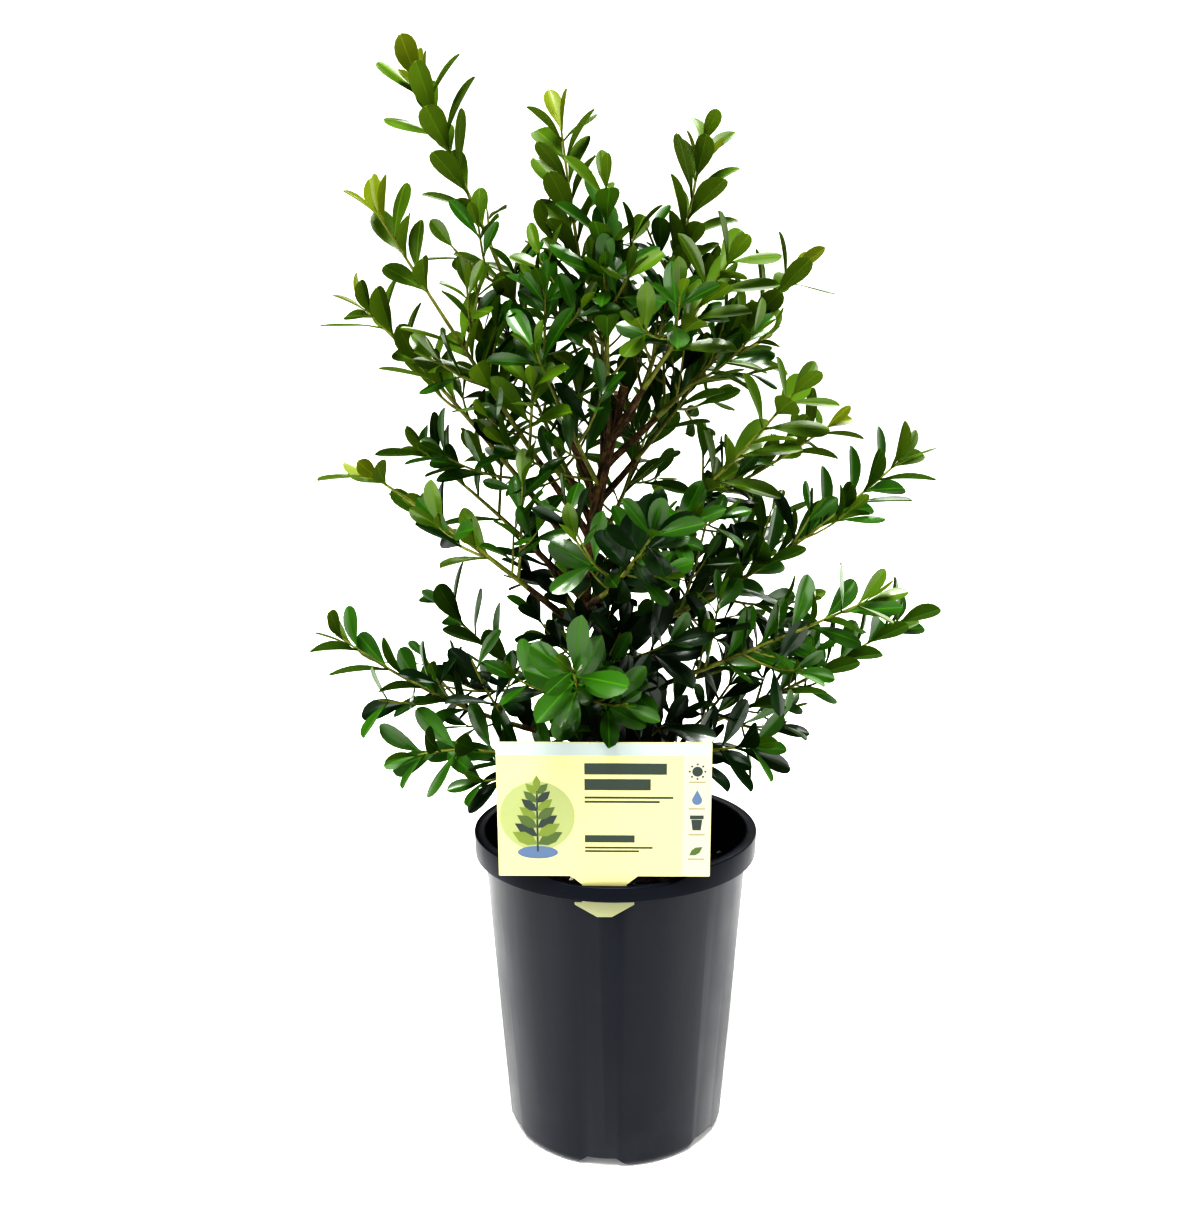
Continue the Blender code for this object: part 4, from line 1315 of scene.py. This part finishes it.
def grow_leaf(shoot, distance, turn, length, spread, tone):
    """One leaf, turned a little to the light, in the first of a few ways that touches nothing."""
    root, heading = shoot.at(distance)
    if growth.random() > core_leafiness(root):
        return
    across = heading.orthogonal().normalized()
    aside = heading.cross(across)
    length *= growth.uniform(0.85, 1.12)
    pattern = 3 if length < 0.65 * LEAF_LENGTH else growth.choice((0, 0, 1, 2))
    shade = growth.uniform(0, 1)
    for attempt in range(LEAF_TRIES):
        slant = spread * growth.uniform(0.8, 1.2) * (1 - 0.12 * attempt)
        swing = turn + growth.uniform(-0.25, 0.25) * (1 + attempt)
        out = math.cos(swing) * across + math.sin(swing) * aside
        along = math.cos(slant) * heading + math.sin(slant) * out
        along = (along + Vector((0, 0, LEAF_LIFT))).normalized()
        face = math.sin(slant) * heading - math.cos(slant) * out
        outward = Vector((root.x, root.y, 0)).normalized() * 0.75
        face += (SUN + outward) * SUN_TURN * growth.uniform(0.6, 1.4)
        face = (face - face.dot(along) * along).normalized()
        place = root - along * ROOT_SINK
        points, faces = blade_faces(place, along, face, length)
        if any(p[i] < lowest[i] or p[i] > highest[i] for p in points for i in range(3)):
            continue
        if any(in_daylight(p) for p in points):
            continue
        blade = BVHTree.FromPolygons(points, faces)
        if wood.overlap(blade):
            continue
        if any(blade.overlap(other) for other in blades_taken.near(points[2])):
            continue
        blades_taken.add(points[2], blade)
        side = along.cross(face)
        facing = Matrix((side, along, face)).transposed().to_quaternion()
        grown[tone_name(tone)].append((place, facing, length, pattern, shade))
        return


def grow_pairs(shoot, leaf_length, tip_size, pair_spacing):
    """Opposite leaves from the tip down to the bare foot of a shoot, each pair a quarter turn on."""
    bare = 0.004 + BARE * shoot.length
    turn = growth.uniform(0, math.tau)
    distance = shoot.length
    size = tip_size
    spread = TIP_SPREAD
    spacing = pair_spacing * TIP_CROWDING
    tone = shoot.tone + YOUNG_TIP
    while distance > bare:
        for side in (turn, turn + math.pi):
            grow_leaf(shoot, distance, side, leaf_length * size, spread, tone)
        distance -= spacing * growth.uniform(0.85, 1.15)
        turn += math.pi / 2
        spacing = pair_spacing
        size = min(size + SIZE_STEP, 1)
        spread = LEAF_SPREAD
        tone = max(shoot.tone, tone - TONE_STEP)


for shoot in twigs:
    grow_pairs(shoot, LEAF_LENGTH, 0.65, PAIR_SPACING)
for shoot in stems:
    grow_pairs(shoot, LEAF_LENGTH * STEM_LEAF, 0.68, PAIR_SPACING * STEM_PAIRS)
for shoot in sprigs:
    grow_pairs(shoot, LEAF_LENGTH * SPRIG_LEAF, 0.80, PAIR_SPACING * SPRIG_LEAF)

leaf_tree, given = new_tree("Leaves", Stock="Collection", Upper="Material", Rib="Material", Under="Material")
facing = add_node(leaf_tree, "GeometryNodeInputNamedAttribute", {"Name": "facing"}, data_type="QUATERNION")
size = add_node(leaf_tree, "GeometryNodeInputNamedAttribute", {"Name": "size"}, data_type="FLOAT")
pattern = add_node(leaf_tree, "GeometryNodeInputNamedAttribute", {"Name": "pattern"}, data_type="INT")
picked = {"Collection": given["Stock"], "Separate Children": True, "Reset Children": True}
shapes = add_node(leaf_tree, "GeometryNodeCollectionInfo", picked)
laid = {"Points": given["Geometry"], "Instance": shapes, "Pick Instance": True, "Instance Index": pattern}
laid |= {"Rotation": facing, "Scale": size}
set_out = add_node(leaf_tree, "GeometryNodeInstanceOnPoints", laid)
result = add_node(leaf_tree, "GeometryNodeRealizeInstances", {"Geometry": set_out})
side = add_node(leaf_tree, "GeometryNodeInputNamedAttribute", {"Name": "side"}, data_type="INT")
for number, name in enumerate(("Upper", "Rib", "Under")):
    equal = {"data_type": "INT", "operation": "EQUAL"}
    same = add_node(leaf_tree, "FunctionNodeCompare", {2: side, 3: number}, **equal)
    skin = {"Geometry": result, "Selection": same, "Material": given[name]}
    result = add_node(leaf_tree, "GeometryNodeSetMaterial", skin)
close_tree(leaf_tree, result)


def leaf_finish(name, code, roughness, coat, spread):
    """A leaf's skin: one plain colour for each spray, a little lighter or darker leaf by leaf."""
    waxed = {"Coat_Weight": coat, "Coat_Roughness": 0.14, "Specular_IOR_Level": WAXED if coat else DULL}
    made, tree, shader = new_finish(name, Roughness=roughness, IOR=LEAF_IOR, **waxed)
    shade = add_node(tree, "ShaderNodeAttribute", attribute_name="shade").outputs["Fac"]
    base = colour(code)
    dark = [c * (1 - spread) for c in base[:3]]
    pale = [min(1, c * (1 + spread)) for c in base[:3]]
    tint = add_node(tree, "ShaderNodeMix", {"Factor": shade, 6: (*dark, 1), 7: (*pale, 1)}, data_type="RGBA")
    feed(tree, shader, {"Base Color": tint.outputs[2]})
    return made


# Upper side, midrib and underside of each tone; the shaded tone is painted shade low and inside the crown
LEAF_COLOURS = {
    "shaded": ("112a0a", "1b3c10", "1e380e"),
    "mature": ("2f5410", "42701a", "425c14"),
    "summer": ("4b6412", "5e7822", "566a1c"),
    "young": ("677318", "7c8a2c", "6c761e"),
}
stock = stock_of("leaf", [leaf_mesh(f"leaf_{i}", *pattern) for i, pattern in enumerate(PATTERNS)])
for tone, (upper, rib, under) in LEAF_COLOURS.items():
    name = f"{tone}_leaves"
    guide = bpy.data.meshes.new(name)
    guide.from_pydata([leaf[0] for leaf in grown[tone]], [], [])
    turns = [value for leaf in grown[tone] for value in leaf[1]]
    guide.attributes.new("facing", "QUATERNION", "POINT").data.foreach_set("value", turns)
    for i, label, kind in ((2, "size", "FLOAT"), (3, "pattern", "INT"), (4, "shade", "FLOAT")):
        values = [leaf[i] for leaf in grown[tone]]
        guide.attributes.new(label, kind, "POINT").data.foreach_set("value", values)
    piece = grown_piece(
        name,
        guide,
        leaf_tree,
        Stock=stock,
        Upper=leaf_finish(f"waxed_{tone}_leaf", upper, 0.38, 0.42, 0.30),
        Rib=leaf_finish(f"{tone}_leaf_midrib", rib, 0.45, 0.0, 0.10),
        Under=leaf_finish(f"{tone}_leaf_underside", under, 0.75, 0.0, 0.15),
    )
    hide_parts(*foliage_nodes)
    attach(piece, "root")
clear_stock(stock)
